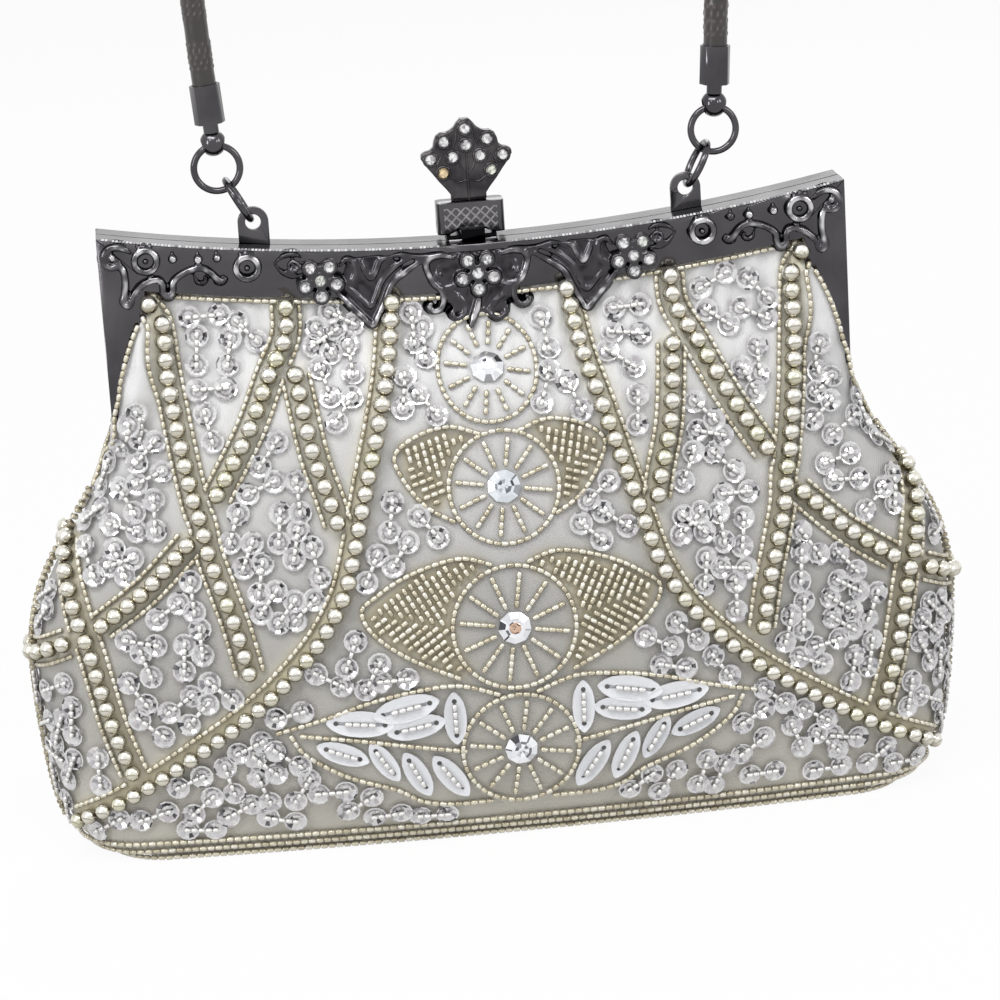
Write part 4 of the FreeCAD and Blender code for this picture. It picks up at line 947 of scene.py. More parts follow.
# painted shade and highlight on the seed beads: dark low down, bright on top
seed_finish = sewn_finish(
    "silver_lined_glass", "rise",
    ((0.12, (0.13, 0.105, 0.06)), (0.38, (0.34, 0.30, 0.205)), (0.64, (0.68, 0.635, 0.505)),
     (0.84, (0.88, 0.85, 0.745)), (1.0, (0.97, 0.96, 0.91))),
    0.35, 0.14, 0.8,
    (("tint", ((0.0, (0.60, 0.55, 0.45)), (0.35, (0.84, 0.81, 0.72)), (0.75, (0.97, 0.95, 0.89)),
               (1.0, WHITE))),), Alpha=0.8)
# painted shade and highlight on the clear beads: dark low down, bright on top
clear_finish = sewn_finish(
    "clear_glass", "rise",
    ((0.12, (0.13, 0.12, 0.115)), (0.42, (0.34, 0.33, 0.32)), (0.72, (0.62, 0.61, 0.59)),
     (1.0, (0.92, 0.91, 0.90))), 0.35, 0.10, 0.7)
# painted reflections: each facet of a sequin gets a tone from near black to white
sequin_finish = sewn_finish(
    "clear_sequin", "facet",
    ((0.0, (0.03, 0.03, 0.035)), (0.06, (0.16, 0.16, 0.17)), (0.14, (0.50, 0.48, 0.50)),
     (0.35, (0.72, 0.695, 0.715)), (0.65, (0.82, 0.825, 0.825)), (0.88, (0.95, 0.95, 0.95)),
     (1.0, WHITE)), 0.55, 0.10, 0.5)
tree = sequin_finish.node_tree
thin = add(tree, "MapRange", Value=own_value(tree, "facet"), To_Min=0.90, To_Max=0.50)
feed(tree, tree.nodes["Principled BSDF"].inputs["Alpha"], thin.outputs[0])
# painted reflections: each facet of a mirror gets a tone from near black to near white; the tint
# is its own colour
mirror_finish = sewn_finish(
    "foiled_mirror", "facet",
    ((0.0, (0.05, 0.05, 0.06)), (0.10, (0.30, 0.30, 0.32)), (0.20, (0.74, 0.75, 0.78)),
     (1.0, (0.95, 0.96, 0.98))), 0.72, 0.10, 0.0,
    (("tint", ((0.0, WHITE), (0.5, (0.86, 0.90, 0.92)), (1.0, (0.72, 0.50, 0.36)))),))
navette_finish = sewn_finish(
    "white_plastic", "tint", ((0.0, (0.66, 0.67, 0.70)), (1.0, (0.78, 0.79, 0.82))),
    0.0, 0.25, 0.3)
# painted shade: a dark disc stands for each sewing hole, as the shade inside it
hole_shade_finish = sewn_finish(
    "painted_hole_shade", "tint", ((0.0, (0.055, 0.05, 0.05)), (1.0, (0.10, 0.095, 0.09))), 0.0, 0.6)

for side, (word, half) in HALVES.items():
    pearls, seeds, clear_seeds, sequins, mirrors, navettes, eyes = [], [], [], [], [], [], []
    clear, taken = [], []

    def sew_seed(around, height, along, lift=SEED_LIFT, off=OFF_SEEDS):
        seeds.append((laid(around, height, along, side, lift), rng.random()))
        clear.append((around, height, off))

    def row(marked, lift=SEED_LIFT):
        for around, height, along in stitches(marked, SEED_PITCH, side):
            sew_seed(around, height, along, lift)

    for line in PEARL_LINES:
        for marked in (line, mirrored(line)):
            for around, height, along in stitches(marked, PEARL_PITCH, side):
                size = PEARL_SMALL + (PEARL_LARGE - PEARL_SMALL) * min(height / PEARL_TOP, 1.0)
                place = laid(around, height, along, side, PEARL_LIFT * size, 0.0, size)
                pearls.append((place, rng.random()))
                clear.append((around, height, OFF_PEARLS))
    pearl_spots = [(around, height) for around, height, _ in clear]
    for number, line in enumerate(PEARL_LINES):
        for marked, outer in ((line, SEED_ROW_OFFSET), (mirrored(line), -SEED_ROW_OFFSET)):
            for offset in (outer,) if number == LONG_STRING else (-outer, outer):
                for around, height, along in stitches(marked, SEED_PITCH, side, offset,
                                                      SEED_ROW_END, SEED_ROW_END):
                    nearest = min(math.hypot(around - x, height - z) for x, z in pearl_spots)
                    if nearest > SEED_OFF_PEARLS:
                        sew_seed(around, height, along)
    for number, (middle, height, radius) in enumerate(WHEELS):
        turns = [k * math.pi / RIM_STEPS for k in range(2 * RIM_STEPS + 1)]
        row([(middle + radius * math.sin(turn), height + radius * math.cos(turn))
             for turn in turns])
        clear.append((middle, height, OFF_HUB))
        mirrors.append((laid(middle, height, (1, 0), side, MIRROR_LIFT, 0.5 * number),
                        0.5 if number == TINTED_WHEEL else 0.0))
        if number == BROWN_WHEEL:
            brown = laid(middle, height, (1, 0), side, BROWN_LIFT, 0.3, BROWN_SIZE)
            mirrors.append((brown, 1.0))
        for spoke in range(SPOKES):
            turn = (spoke + 0.3) * math.pi / 6
            out, hub = Vector((math.sin(turn), math.cos(turn))), Vector((middle, height))
            row((hub + out * HUB, hub + out * (radius - RIM_GAP)))
    for outline in LEAF_OUTLINES + FERN_OUTLINES:
        for marked in (outline, mirrored(outline, LEAF_SHIFT)):
            row(marked)
    for around, height, along in leaf_stitches:
        sew_seed(around, height, along, off=OFF_LEAVES)
    for ends in NAVETTES:
        for tip, foot in (ends, mirrored(ends, LEAF_SHIFT)):
            tip, foot = Vector(tip), Vector(foot)
            middle, along = (tip + foot) / 2, (tip - foot).normalized()
            length = (tip - foot).length
            navettes.append((laid(middle.x, middle.y, along, side, NAVETTE_LIFT, 0.0,
                                  length * MM / NAVETTE_LENGTH), rng.random()))
            for end in (-1, 1):
                spot = middle + along * end * (length / 2 - EYE_INSET)
                eyes.append((laid(spot.x, spot.y, along, side, EYE_LIFT), rng.random()))
            for step in range(NAVETTE_SEEDS):
                spot = middle + along * (step - (NAVETTE_SEEDS - 1) / 2) * SEED_PITCH
                clear_seeds.append((laid(spot.x, spot.y, along, side, NAVETTE_SEED_LIFT),
                                    rng.random()))
            clear += [(middle.x + along.x * reach, middle.y + along.y * reach, OFF_NAVETTES)
                      for reach in NAVETTE_CORE]
    for height in BASE_ROWS:
        reach = half_girth(height) - BASE_ROW_END
        row(((-reach, height), (0.0, height), (reach, height)))
    row([(x, BAR_ARC_MIDDLE - math.sqrt(BAR_FOOT_RADIUS ** 2 - x * x) - BAR_ROW_DROP)
         for x in range(-BAR_ROW_END, BAR_ROW_END + 1, 2)], BAR_ROW_LIFT)

    for hand in (-1, 1):
        for step in range(SEAM_SEEDS):
            height = SEAM_FOOT + SEAM_PITCH * step
            around = hand * (half_girth(height) - rng.uniform(*SEAM_INSETS))
            lean = Matrix.Rotation(-QUARTER + rng.uniform(-SEAM_LEAN, SEAM_LEAN), 4, "Y")
            seeds.append((laid(around, height, (0, 1), side, SEAM_LIFT) @ lean, rng.random()))
        row([(hand * (half_girth(height) - BORDER_INSET), height) for height in BORDER_HEIGHTS],
            BORDER_LIFT)
    clear += UNDER_ORNAMENT
    spots = KDTree(len(clear))
    for number, (around, height, _) in enumerate(clear):
        spots.insert((around, height, 0.0), number)
    spots.balance()

    def free(place):
        near = spots.find_range((place.x, place.y, 0.0), OFF_HUB)
        if any(distance < clear[number][2] for _, number, distance in near):
            return False
        if any(math.hypot(place.x - x, place.y - z) < radius + OFF_RIM for x, z, radius in WHEELS):
            return False
        return all((place - other).length > SEQUIN_GAP for other in taken)

    for attempt in range(SEQUIN_TRIES):
        height = rng.uniform(*SEQUIN_HEIGHTS)
        reach = half_girth(height) - 1.0
        middle = Vector((rng.uniform(-reach, reach), height))
        turn = rng.uniform(0.0, math.pi)
        arm = Vector((math.cos(turn), math.sin(turn))) * SEQUIN_ARM * rng.uniform(*ARM_SIZES)
        pair = (middle + arm, middle - arm)
        lowest, highest = middle.y - abs(arm.y), middle.y + abs(arm.y)
        if not (SEQUIN_LIMITS[0] < lowest and highest < SEQUIN_LIMITS[1]):
            continue
        if not all(free(place) for place in pair):
            continue
        insets = [NECK_INSET if place.y > NECK_FOOT else SEQUIN_INSET for place in pair]
        if any(abs(place.x) > half_girth(place.y) - inset for place, inset in zip(pair, insets)):
            continue
        tint = rng.random()
        for place in pair:
            taken.append(place)
            sequins.append((laid(place.x, place.y, (1, 0), side, SEQUIN_LIFT,
                                 rng.uniform(*ANY_TURN)), tint))
        for step in LINK_STEPS:
            place = middle + arm * step
            clear_seeds.append((laid(place.x, place.y, arm, side, LINK_LIFT, 0.0, LINK_SIZE),
                                rng.random()))

    for name, shape, places, finish, slot in (
            ("pearls", pearl, pearls, pearl_finish, "pearls"),
            ("seed_beads", seed, seeds, seed_finish, "stones"),
            ("clear_beads", seed, clear_seeds, clear_finish, "stones"),
            ("sequins", sequin, sequins, sequin_finish, "stones"),
            ("mirror_sequins", mirror, mirrors, mirror_finish, "stones"),
            ("leaf_sequins", navette, navettes, navette_finish, "stones"),
            # dark discs painted as the shade in the leaf sequins' holes
            ("leaf_hole_shades", eye, eyes, hole_shade_finish, "stones")):
        sewn = sew_on(f"{word}_{name}", shape, places)
        sewn.data.materials.append(finish)
        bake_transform(sewn)
        if name == "pearls":
            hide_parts(f"{word}_pearls_lower", f"{word}_pearls_upper")
for shape in (seed, pearl, sequin, mirror, navette, eye):
    bpy.data.objects.remove(shape)


# The ornament is cast with its stone cups and soldered along the front bar:
# scrolls, ring bosses, a flower of stones at each side and one in the middle,
# and points that hang over the cloth, all plated with the frame.
BAR_FACE, BAR_TOP_RADIUS, FACING = -6.5, 440.198, (QUARTER, 0, 0)
FLOWERS = ((0.0, 6.195), (-34.567, 6.405), (34.567, 6.405))
PETALS, PETAL_RING = 5, 3.6
STONE_SIDES, STONE_RADIUS, STONE_TABLE, STONE_HEIGHT = 9, 0.00145, 0.00090, 0.0009
CUP_RADIUS, CUP_RIM, CUP_HEIGHT, CUP_ROOT, CUP_RISE, CUP_TONE = 1.85, 0.30, 1.9, 0.4, 1.18, 0.62
CAST_GRAIN, RELIEF_DEPTH, RELIEF_FOOT, HIGHLIGHT_BREAK_SIZE = 0.00031, 1.25, 124.0, 0.0017
STROKE_STEPS, STROKE_TIP, STROKE_GAIN, BEAD_LIFT, CLOTH_GAP = 6, 0.55, 0.075, 0.35, 0.25
# the noise that breaks up the ornament's painted highlights: its level and spread here, its size
# two lines up
HIGHLIGHT_BREAK_LEVEL, HIGHLIGHT_BREAK_SPREAD, STONE_OUT, STONE_PEAK = 0.84, 0.40, 0.35, 0.00006
STONE_TINTS = (0.2, 0.65)
FOOT_RISE, FOOT_SPREAD, ROD_LIFT, PLATE_LIFT, PLATE_DEPTH = 0.16, 0.75, 0.55, 0.45, 0.0017
MILL_PITCH, MILL_TOOTH, MILL_SINK, MILL_END, MILL_GAP = 0.75, 0.00052, 0.12, 108, 10
PAIRED_SCROLLS = (
    (0.80, ((76.4, 126.2), (75.0, 128.6), (72.6, 130.5), (70.0, 131.1), (68.9, 130.0),
            (68.9, 128.2), (67.9, 127.0), (66.8, 128.4), (66.5, 130.4), (63.8, 132.2),
            (60.6, 132.9), (58.6, 132.0), (57.2, 130.4), (55.6, 129.3))),
    (0.85, ((78.4, 135.6), (77.2, 134.0), (76.9, 131.0), (77.3, 128.4), (77.8, 126.7),
            (76.6, 125.7), (75.5, 126.9))),
    (0.80, ((77.9, 136.4), (78.2, 134.9), (79.7, 134.5), (81.0, 135.5), (81.1, 137.2),
            (80.1, 138.6), (78.3, 139.0), (76.6, 138.5), (75.3, 137.5))),
    (0.42, ((62.0, 131.4), (61.4, 129.9), (60.2, 129.4), (59.4, 130.2), (60.0, 131.0))),
    (0.42, ((58.0, 130.9), (57.3, 129.5), (56.0, 129.1), (55.1, 130.0), (55.8, 130.9))),
    (0.50, ((44.4, 132.5), (42.2, 134.0), (39.8, 134.2), (38.2, 133.3))),
    (0.50, ((44.4, 132.5), (42.6, 130.4), (40.4, 129.3), (38.4, 129.5))),
    (0.85, ((31.4, 125.4), (28.6, 122.2), (25.6, 118.8), (23.8, 117.0), (22.5, 118.8),
            (20.6, 122.6), (18.9, 126.0), (15.5, 128.6), (11.6, 130.9))),
    (0.66, ((29.4, 126.6), (26.4, 123.6), (24.0, 121.2), (22.6, 123.4), (20.9, 127.0),
            (17.6, 130.0), (14.6, 131.2))),
    (0.74, ((25.6, 132.2), (25.0, 130.2), (23.6, 127.6), (22.4, 129.0), (21.2, 131.4),
            (19.2, 132.0))),
    (0.66, ((30.2, 130.6), (28.9, 132.2), (27.3, 131.8), (26.8, 129.8), (27.4, 127.8),
            (28.8, 126.9))),
    (0.50, ((26.6, 127.4), (25.7, 125.4), (24.6, 123.6))),
    (0.58, ((19.2, 132.0), (16.6, 132.2), (14.0, 131.6), (11.4, 131.4), (8.6, 131.6),
            (6.2, 131.2))),
    (0.80, ((4.8, 130.6), (7.6, 131.4), (10.1, 131.0), (11.2, 129.5), (10.8, 127.5),
            (9.8, 125.2), (8.3, 123.6), (7.8, 121.6), (8.5, 119.6), (10.1, 119.0),
            (11.1, 120.1), (10.2, 121.1))),
    (0.66, ((9.6, 125.0), (7.6, 124.0), (5.4, 124.3), (3.4, 125.2))),
    (0.60, ((6.9, 129.4), (8.4, 128.6), (8.5, 126.6), (7.2, 125.8))),
)
SINGLE_SCROLLS = (
    (0.65, ((-6.8, 123.7), (-4.6, 121.9), (-3.3, 119.7), (-3.7, 117.7), (-5.2, 117.0),
            (-6.2, 118.2), (-5.3, 119.2))),
    (0.65, ((6.8, 123.7), (5.2, 121.5), (3.1, 119.7), (2.1, 117.9), (3.6, 116.5), (5.5, 117.1),
            (5.9, 118.9), (4.9, 119.5))),
    (0.95, ((0.0, 122.8), (-0.4, 120.0), (-1.4, 117.2), (-2.4, 114.9))),
    (0.60, ((-0.4, 119.6), (0.9, 118.4), (2.1, 117.5))),
)
BOSSES = ((72.2, 135.4, 2.45, 0.85), (50.3, 132.1, 2.45, 0.85), (40.2, 131.6, 1.15, 0.42))
CAST_BEADS = (
    (72.2, 135.3, 0.75), (50.3, 132.0, 0.75), (40.2, 131.5, 0.45), (79.3, 136.7, 1.0),
    (66.3, 135.4, 1.10), (60.8, 134.9, 1.10), (56.7, 134.8, 1.05), (66.3, 136.8, 0.45),
    (60.8, 136.3, 0.45), (56.7, 136.2, 0.45), (70.9, 138.8, 0.55), (72.3, 139.1, 0.55),
    (73.7, 138.8, 0.55), (49.0, 135.3, 0.55), (50.3, 135.6, 0.55), (51.6, 135.3, 0.55),
    (26.2, 127.4, 0.50), (25.4, 125.0, 0.50), (24.4, 123.0, 0.45), (8.6, 127.0, 0.90),
    (6.6, 129.2, 0.55),
)
SIDE_PLATE = ((30.6, 126.6), (27.4, 122.4), (23.9, 118.6), (21.0, 123.4), (19.4, 126.4),
              (16.0, 130.2), (21.0, 132.6), (28.0, 132.4))
MIDDLE_PLATE = ((10.4, 130.4), (10.4, 127.2), (8.4, 123.6), (6.4, 120.2), (4.4, 117.6),
                (0.6, 119.0), (-2.0, 116.4), (-4.4, 118.0), (-6.6, 120.4), (-8.4, 123.6),
                (-10.4, 127.2), (-10.4, 130.4), (-6.0, 131.8), (6.0, 131.8))


def on_bar(x, z, lift):
    """A place on the bar's face, or in front of the cloth below it, lift millimetres out."""
    cloth = cloth_point(x, z, FRONT).y - CLOTH_GAP
    return Vector((x, min(BAR_FACE, cloth) - lift, z)) * MM


def bar_height(x, drop):
    return BAR_ARC_MIDDLE - math.sqrt((BAR_TOP_RADIUS + drop) ** 2 - x * x)


def stroke(curve, radius, points, place, lift):
    """One cast scroll: a rod along a drawn line, thinner at both ends."""
    line = flowing(points, STROKE_STEPS)
    spline = curve.splines.new("POLY")
    spline.points.add(len(line) - 1)
    for k, (spot, drawn) in enumerate(zip(spline.points, line)):
        spot.co = (*place(drawn.x, drawn.y, lift), 1.0)
        from_end = min(k, len(line) - 1 - k)
        spot.radius = radius * min(1.0, STROKE_TIP + STROKE_GAIN * from_end)


def rods(name, strokes, place, foot=0.0):
    """All strokes of one casting as a mesh."""
    curve = bpy.data.curves.new(name, "CURVE")
    curve.dimensions, curve.use_fill_caps = "3D", True
    curve.bevel_depth, curve.bevel_resolution = MM, 3
    for radius, points in strokes:
        stroke(curve, radius, points, place, radius * ROD_LIFT)
        if foot:
            stroke(curve, radius + foot, points, place, FOOT_RISE - radius - foot)
    piece = bpy.data.objects.new(name, curve)
    bpy.context.collection.objects.link(piece)
    only(piece)
    bpy.ops.object.convert(target="MESH")
    return piece


def loop_at(place, radius, wire, around, thick, turn=FACING):
    """A closed ring of round wire."""
    bpy.ops.mesh.primitive_torus_add(location=place, rotation=turn, major_radius=radius,
                                     minor_radius=wire, major_segments=around,
                                     minor_segments=thick)
    return bpy.context.object


def slab(outline, place, depth):
    """A plate with a drawn outline, depth metres thick towards the back."""
    bpy.ops.object.select_all(action="DESELECT")
    bpy.ops.mesh.primitive_circle_add(vertices=len(outline), fill_type="NGON")
    plate = bpy.context.object
    for vertex, (x, z) in zip(plate.data.vertices, outline):
        vertex.co = place(x, z)
    to_edit(plate)
    bpy.ops.mesh.select_all(action="SELECT")
    bpy.ops.mesh.extrude_region_move(TRANSFORM_OT_translate={"value": (0, depth, 0)})
    face_outwards()
    return plate


def soldered(members):
    """Joins all members to the first."""
    bpy.ops.object.select_all(action="DESELECT")
    for member in members:
        member.select_set(True)
    bpy.context.view_layer.objects.active = members[0]
    bpy.ops.object.join()
    bpy.ops.object.transform_apply()


def flower_places():
    """Middle and petal stones of each flower."""
    for x, drop in FLOWERS:
        z = bar_height(x, drop)
        yield x, z
        for petal in range(PETALS):
            turn = 2 * math.pi * petal / PETALS - math.pi / 2
            yield x + PETAL_RING * math.cos(turn), z + PETAL_RING * math.sin(turn)


strokes = list(SINGLE_SCROLLS)
for radius, points in PAIRED_SCROLLS:
    strokes += [(radius, points), (radius, mirrored(points))]
ornament = rods("cast_ornament", strokes, on_bar, FOOT_SPREAD)
members = [ornament]
for hand in (-1, 1):
    for x, z, radius, wire in BOSSES:
        place = on_bar(hand * x, z, ROD_LIFT)
        members.append(loop_at(place, radius * MM, wire * MM, 28, 10))
    for x, z, radius in CAST_BEADS:
        bpy.ops.mesh.primitive_uv_sphere_add(segments=14, ring_count=8, radius=radius * MM,
                                             location=on_bar(hand * x, z, radius * BEAD_LIFT))
        members.append(bpy.context.object)
for x, z in flower_places():
    foot = Vector((x, BAR_FACE + CUP_ROOT, z)) * MM
    bpy.ops.mesh.primitive_cylinder_add(
        vertices=24, radius=CUP_RADIUS * MM, depth=(CUP_HEIGHT + CUP_ROOT) * MM, rotation=FACING,
        location=foot - Vector((0, (CUP_HEIGHT + CUP_ROOT) / 2 * MM, 0)))
    members.append(bpy.context.object)
    members.append(loop_at(Vector((x, BAR_FACE - CUP_HEIGHT, z)) * MM, (CUP_RADIUS - CUP_RIM) * MM,
                           CUP_RIM * MM, 24, 8))
for outline in (SIDE_PLATE, mirrored(SIDE_PLATE), MIDDLE_PLATE):
    members.append(slab(outline, lambda x, z: on_bar(x, z, PLATE_LIFT), PLATE_DEPTH))
soldered(members)
cast = ornament.modifiers.new("casting", "REMESH")
cast.mode, cast.voxel_size = "VOXEL", CAST_GRAIN
worn = ornament.modifiers.new("polish", "SMOOTH")
worn.factor, worn.iterations = 0.5, 3
apply_all(ornament)
bpy.ops.object.shade_smooth()
# the relief's height over the bar sets painted light: painted shade in the crevices and around the
# shapes, paler up the sides, painted highlights on the ridges, and a middle level on the stone
# cups
relief = ornament.data.attributes.new("relief", "FLOAT", "POINT")
for vertex, depth in zip(ornament.data.vertices, relief.data):
    x, y, z = vertex.co / MM
    ground = BAR_FACE if z > RELIEF_FOOT else on_bar(x, z, 0.0).y / MM
    rise = max((ground - y) / RELIEF_DEPTH, 0.0)
    # noise that breaks up the painted highlights
    highlight_break = HIGHLIGHT_BREAK_LEVEL + HIGHLIGHT_BREAK_SPREAD * noise(vertex.co / HIGHLIGHT_BREAK_SIZE)
    depth.value = min(rise * highlight_break, 1.0) if rise < CUP_RISE else CUP_TONE
# painted shade near black in the crevices, up to painted highlights on the ridges
relief_nickel = sewn_finish(
    "relief_nickel", "relief",
    ((0.0, (0.009, 0.009, 0.010)), (0.20, (0.013, 0.012, 0.014)), (0.36, (0.056, 0.053, 0.058)),
     (0.62, (0.066, 0.063, 0.068)), (0.80, (0.15, 0.146, 0.154)), (1.0, (0.60, 0.59, 0.61))),
    1.0, 0.11)
ornament.data.materials.append(relief_nickel)
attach(ornament, "front_half")
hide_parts("front_ornament")

stone = cut_blank(STONE_SIDES, STONE_RADIUS, STONE_TABLE, STONE_HEIGHT)
bpy.ops.mesh.poke(offset=STONE_PEAK)
bpy.ops.object.mode_set(mode="OBJECT")
# painted reflections: each facet of a stone gets a tone from dark grey to near white; the tint is
# its own colour
stone_finish = sewn_finish(
    "foiled_glass", "facet",
    ((0.0, (0.16, 0.16, 0.17)), (0.2, (0.42, 0.42, 0.43)), (0.5, (0.66, 0.66, 0.66)),
     (1.0, (0.90, 0.90, 0.91))), 0.45, 0.06, 1.0,
    (("tint", ((0.0, (1.0, 0.97, 0.97)), (0.5, WHITE), (0.7, (0.93, 0.97, 0.86)),
               (1.0, (1.0, 0.78, 0.45)))),))


def set_stones(name, node, body_name, places):
    """Cut stones in their cups, tables to the front, each turned at random."""
    facing = Matrix.Rotation(QUARTER, 4, "X")
    stones = sew_on(name, stone, [
        (Matrix.Translation(Vector(spot) * MM) @ facing
         @ Matrix.Rotation(rng.uniform(*ANY_TURN), 4, "Z"), tint) for *spot, tint in places])
    stones.data.materials.append(stone_finish)
    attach(stones, body_name)
    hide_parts(node)


set_stones("ornament_stones", "front_ornament_stones", "front_half",
           [(x, BAR_FACE - CUP_HEIGHT - STONE_OUT, z, rng.uniform(*STONE_TINTS))
            for x, z in flower_places()])

bpy.ops.object.select_all(action="DESELECT")
bpy.ops.mesh.primitive_cube_add(size=MILL_TOOTH, rotation=(math.pi / 4, 0, 0))
tooth = bpy.context.object
bpy.ops.object.transform_apply(location=False, rotation=True, scale=False)
teeth = [k * MILL_PITCH for k in range(-MILL_END, MILL_END + 1) if abs(k) > MILL_GAP]
milled_edge = sew_on("milled_edge", tooth, [
    (Matrix.Translation(Vector((x, BAR_FACE + MILL_SINK, bar_height(x, MILL_SINK))) * MM),
     rng.random()) for x in teeth])
bpy.data.objects.remove(tooth)
# painted highlight: the milled teeth are coloured far paler than the nickel, as a bright dotted
# line of glints
milled_highlight_finish = sewn_finish(
    "milled_edge_highlight", "tint",
    ((0.0, (0.24, 0.24, 0.25)), (0.5, (0.58, 0.575, 0.59)), (1.0, (0.92, 0.92, 0.94))), 1.0, 0.16)
milled_edge.data.materials.append(milled_highlight_finish)
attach(milled_edge, "front_half")


# The clasp tilts on its pin: a box collar whose front is hatched with a graver,
# and a cast fan shell of five lobes, ribbed and set with ten stones.
KNOB_FACE, SHELL_DEPTH, SHELL_EDGE, RIB_SHARE = 2.0, 0.0024, 0.00040, 0.6
KNOB_CUP, KNOB_CUP_WIRE, KNOB_CUP_OUT = 0.00150, 0.00030, 0.1
SHELL_OUTLINE = (
    (0.9, 159.6), (1.8, 158.7), (2.5, 157.7), (3.4, 157.05), (4.3, 156.75), (5.5, 156.7),
    (6.5, 156.05), (7.0, 154.9), (7.25, 153.6), (8.0, 152.95), (9.1, 152.7), (10.0, 152.2),
    (10.1, 151.2), (9.3, 149.8), (7.9, 148.0), (6.4, 145.9), (4.8, 144.0), (3.95, 142.8),
    (3.95, 141.3),
)
KNOB_STONES = (
    (0.0, 157.4, 0.5), (-4.77, 154.76, 0.3), (4.77, 154.76, 0.5), (-8.0, 150.99, 0.55),
    (8.0, 150.99, 0.5), (0.0, 153.7, 0.45), (-3.07, 151.19, 0.4), (3.07, 151.19, 0.5),
    (-5.3, 147.81, 1.0), (5.3, 147.81, 0.72),
)
MIDDLE_RIB = (0.34, ((0.0, 141.4), (0.0, 144.0), (0.0, 148.0), (0.0, 151.9)))
SIDE_RIBS = (
    (0.28, ((4.2, 146.7), (2.4, 145.6), (0.3, 146.0))),
    (0.30, ((6.8, 147.9), (6.4, 150.0), (5.1, 152.4))),
    (0.30, ((2.9, 153.4), (2.2, 155.0), (2.0, 156.8))),
    (0.28, ((1.7, 151.0), (1.5, 149.2), (0.4, 147.6))),
)
HATCH_FINENESS, HATCH_EDGE, HATCH_RELIEF = 2900.0, 0.72, (0.9, 0.00022)
HATCH_FRONT, HATCH_SIDE, HATCH_TOP = 0.00035, 0.0059, 0.1402
BOX_FOOT, BOX_FRONT, BOX_EDGE = 0.1346, 0.00005, 0.00035
# the cuts' pale tone is a painted highlight, the hook's near black a painted shade
CUT_HIGHLIGHT_TONE, HOOK_SHADE_TONE, CUT_UNEVENNESS = (0.46, 0.45, 0.47), (0.006, 0.006, 0.007), 900.0
hatched_nickel, tree, body, tone = variant(black_nickel, "hatched_nickel")
split = object_axes(tree)
cuts = []
for slant in (1.0, -1.0):
    across = calc(tree, "ADD", split["Z"], calc(tree, "MULTIPLY", split["X"], slant))
    wave = calc(tree, "SINE", calc(tree, "MULTIPLY", across, HATCH_FINENESS))
    cuts.append(calc(tree, "GREATER_THAN", wave, HATCH_EDGE))
over_foot = calc(tree, "MULTIPLY", calc(tree, "GREATER_THAN", split["Z"], BOX_FOOT),
                 calc(tree, "GREATER_THAN", split["Y"], BOX_FRONT))
field = calc(tree, "MULTIPLY", over_foot, calc(tree, "LESS_THAN", split["Y"], HATCH_FRONT))
for axis, limit in ((calc(tree, "ABSOLUTE", split["X"]), HATCH_SIDE), (split["Z"], HATCH_TOP)):
    field = calc(tree, "MULTIPLY", field, calc(tree, "LESS_THAN", axis, limit))
cut_lines = calc(tree, "MULTIPLY", calc(tree, "MAXIMUM", *cuts), field)
uneven = add(tree, "TexNoise", Vector=object_place(tree), Scale=CUT_UNEVENNESS).outputs["Fac"]
# painted highlight: the graver's cuts are coloured pale, as where they catch the light
tone = mixed(tree, calc(tree, "MULTIPLY", cut_lines, uneven), tone, CUT_HIGHLIGHT_TONE)
# painted shade: the collar below its box foot and in front of the box, the hook, is coloured near
# black
feed(tree, body.inputs["Base Color"], mixed(tree, over_foot, HOOK_SHADE_TONE, tone))
relief_on(tree, body, cut_lines, *HATCH_RELIEF, sunk=True)

collar = softened("clasp_collar", "clasp_box", BOX_EDGE, 3)
smooth_faces(collar)
collar.data.materials.append(hatched_nickel)
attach(collar, "clasp_head")


def on_knob(x, z, lift=0.0):
    return Vector((x, KNOB_FACE - lift * RIB_SHARE, z)) * MM


shell = slab(SHELL_OUTLINE + mirrored(SHELL_OUTLINE[::-1]), on_knob, SHELL_DEPTH)
shell.name = "clasp_shell"
break_edges(shell, SHELL_EDGE, 3, 50)
apply_all(shell)
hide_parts("clasp_knob")
smooth_faces(shell)
shell.data.materials.append(cast_nickel)
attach(shell, "clasp_head")
strokes = [MIDDLE_RIB]
for radius, points in SIDE_RIBS:
    strokes += [(radius, mirrored(points)), (radius, points)]
ribs = rods("clasp_ribs", strokes, on_knob)
cups = [loop_at((x * MM, (KNOB_FACE - KNOB_CUP_OUT) * MM, z * MM), KNOB_CUP, KNOB_CUP_WIRE, 24, 8)
        for x, z, _ in KNOB_STONES]
soldered([ribs] + cups)
bpy.ops.object.shade_smooth()
ribs.data.materials.append(cast_nickel)
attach(ribs, "clasp_head")
set_stones("clasp_stones", "clasp_knob_stones", "clasp_head",
           [(x, KNOB_FACE - STONE_OUT, z, tint) for x, z, tint in KNOB_STONES])
bpy.data.objects.remove(stone)


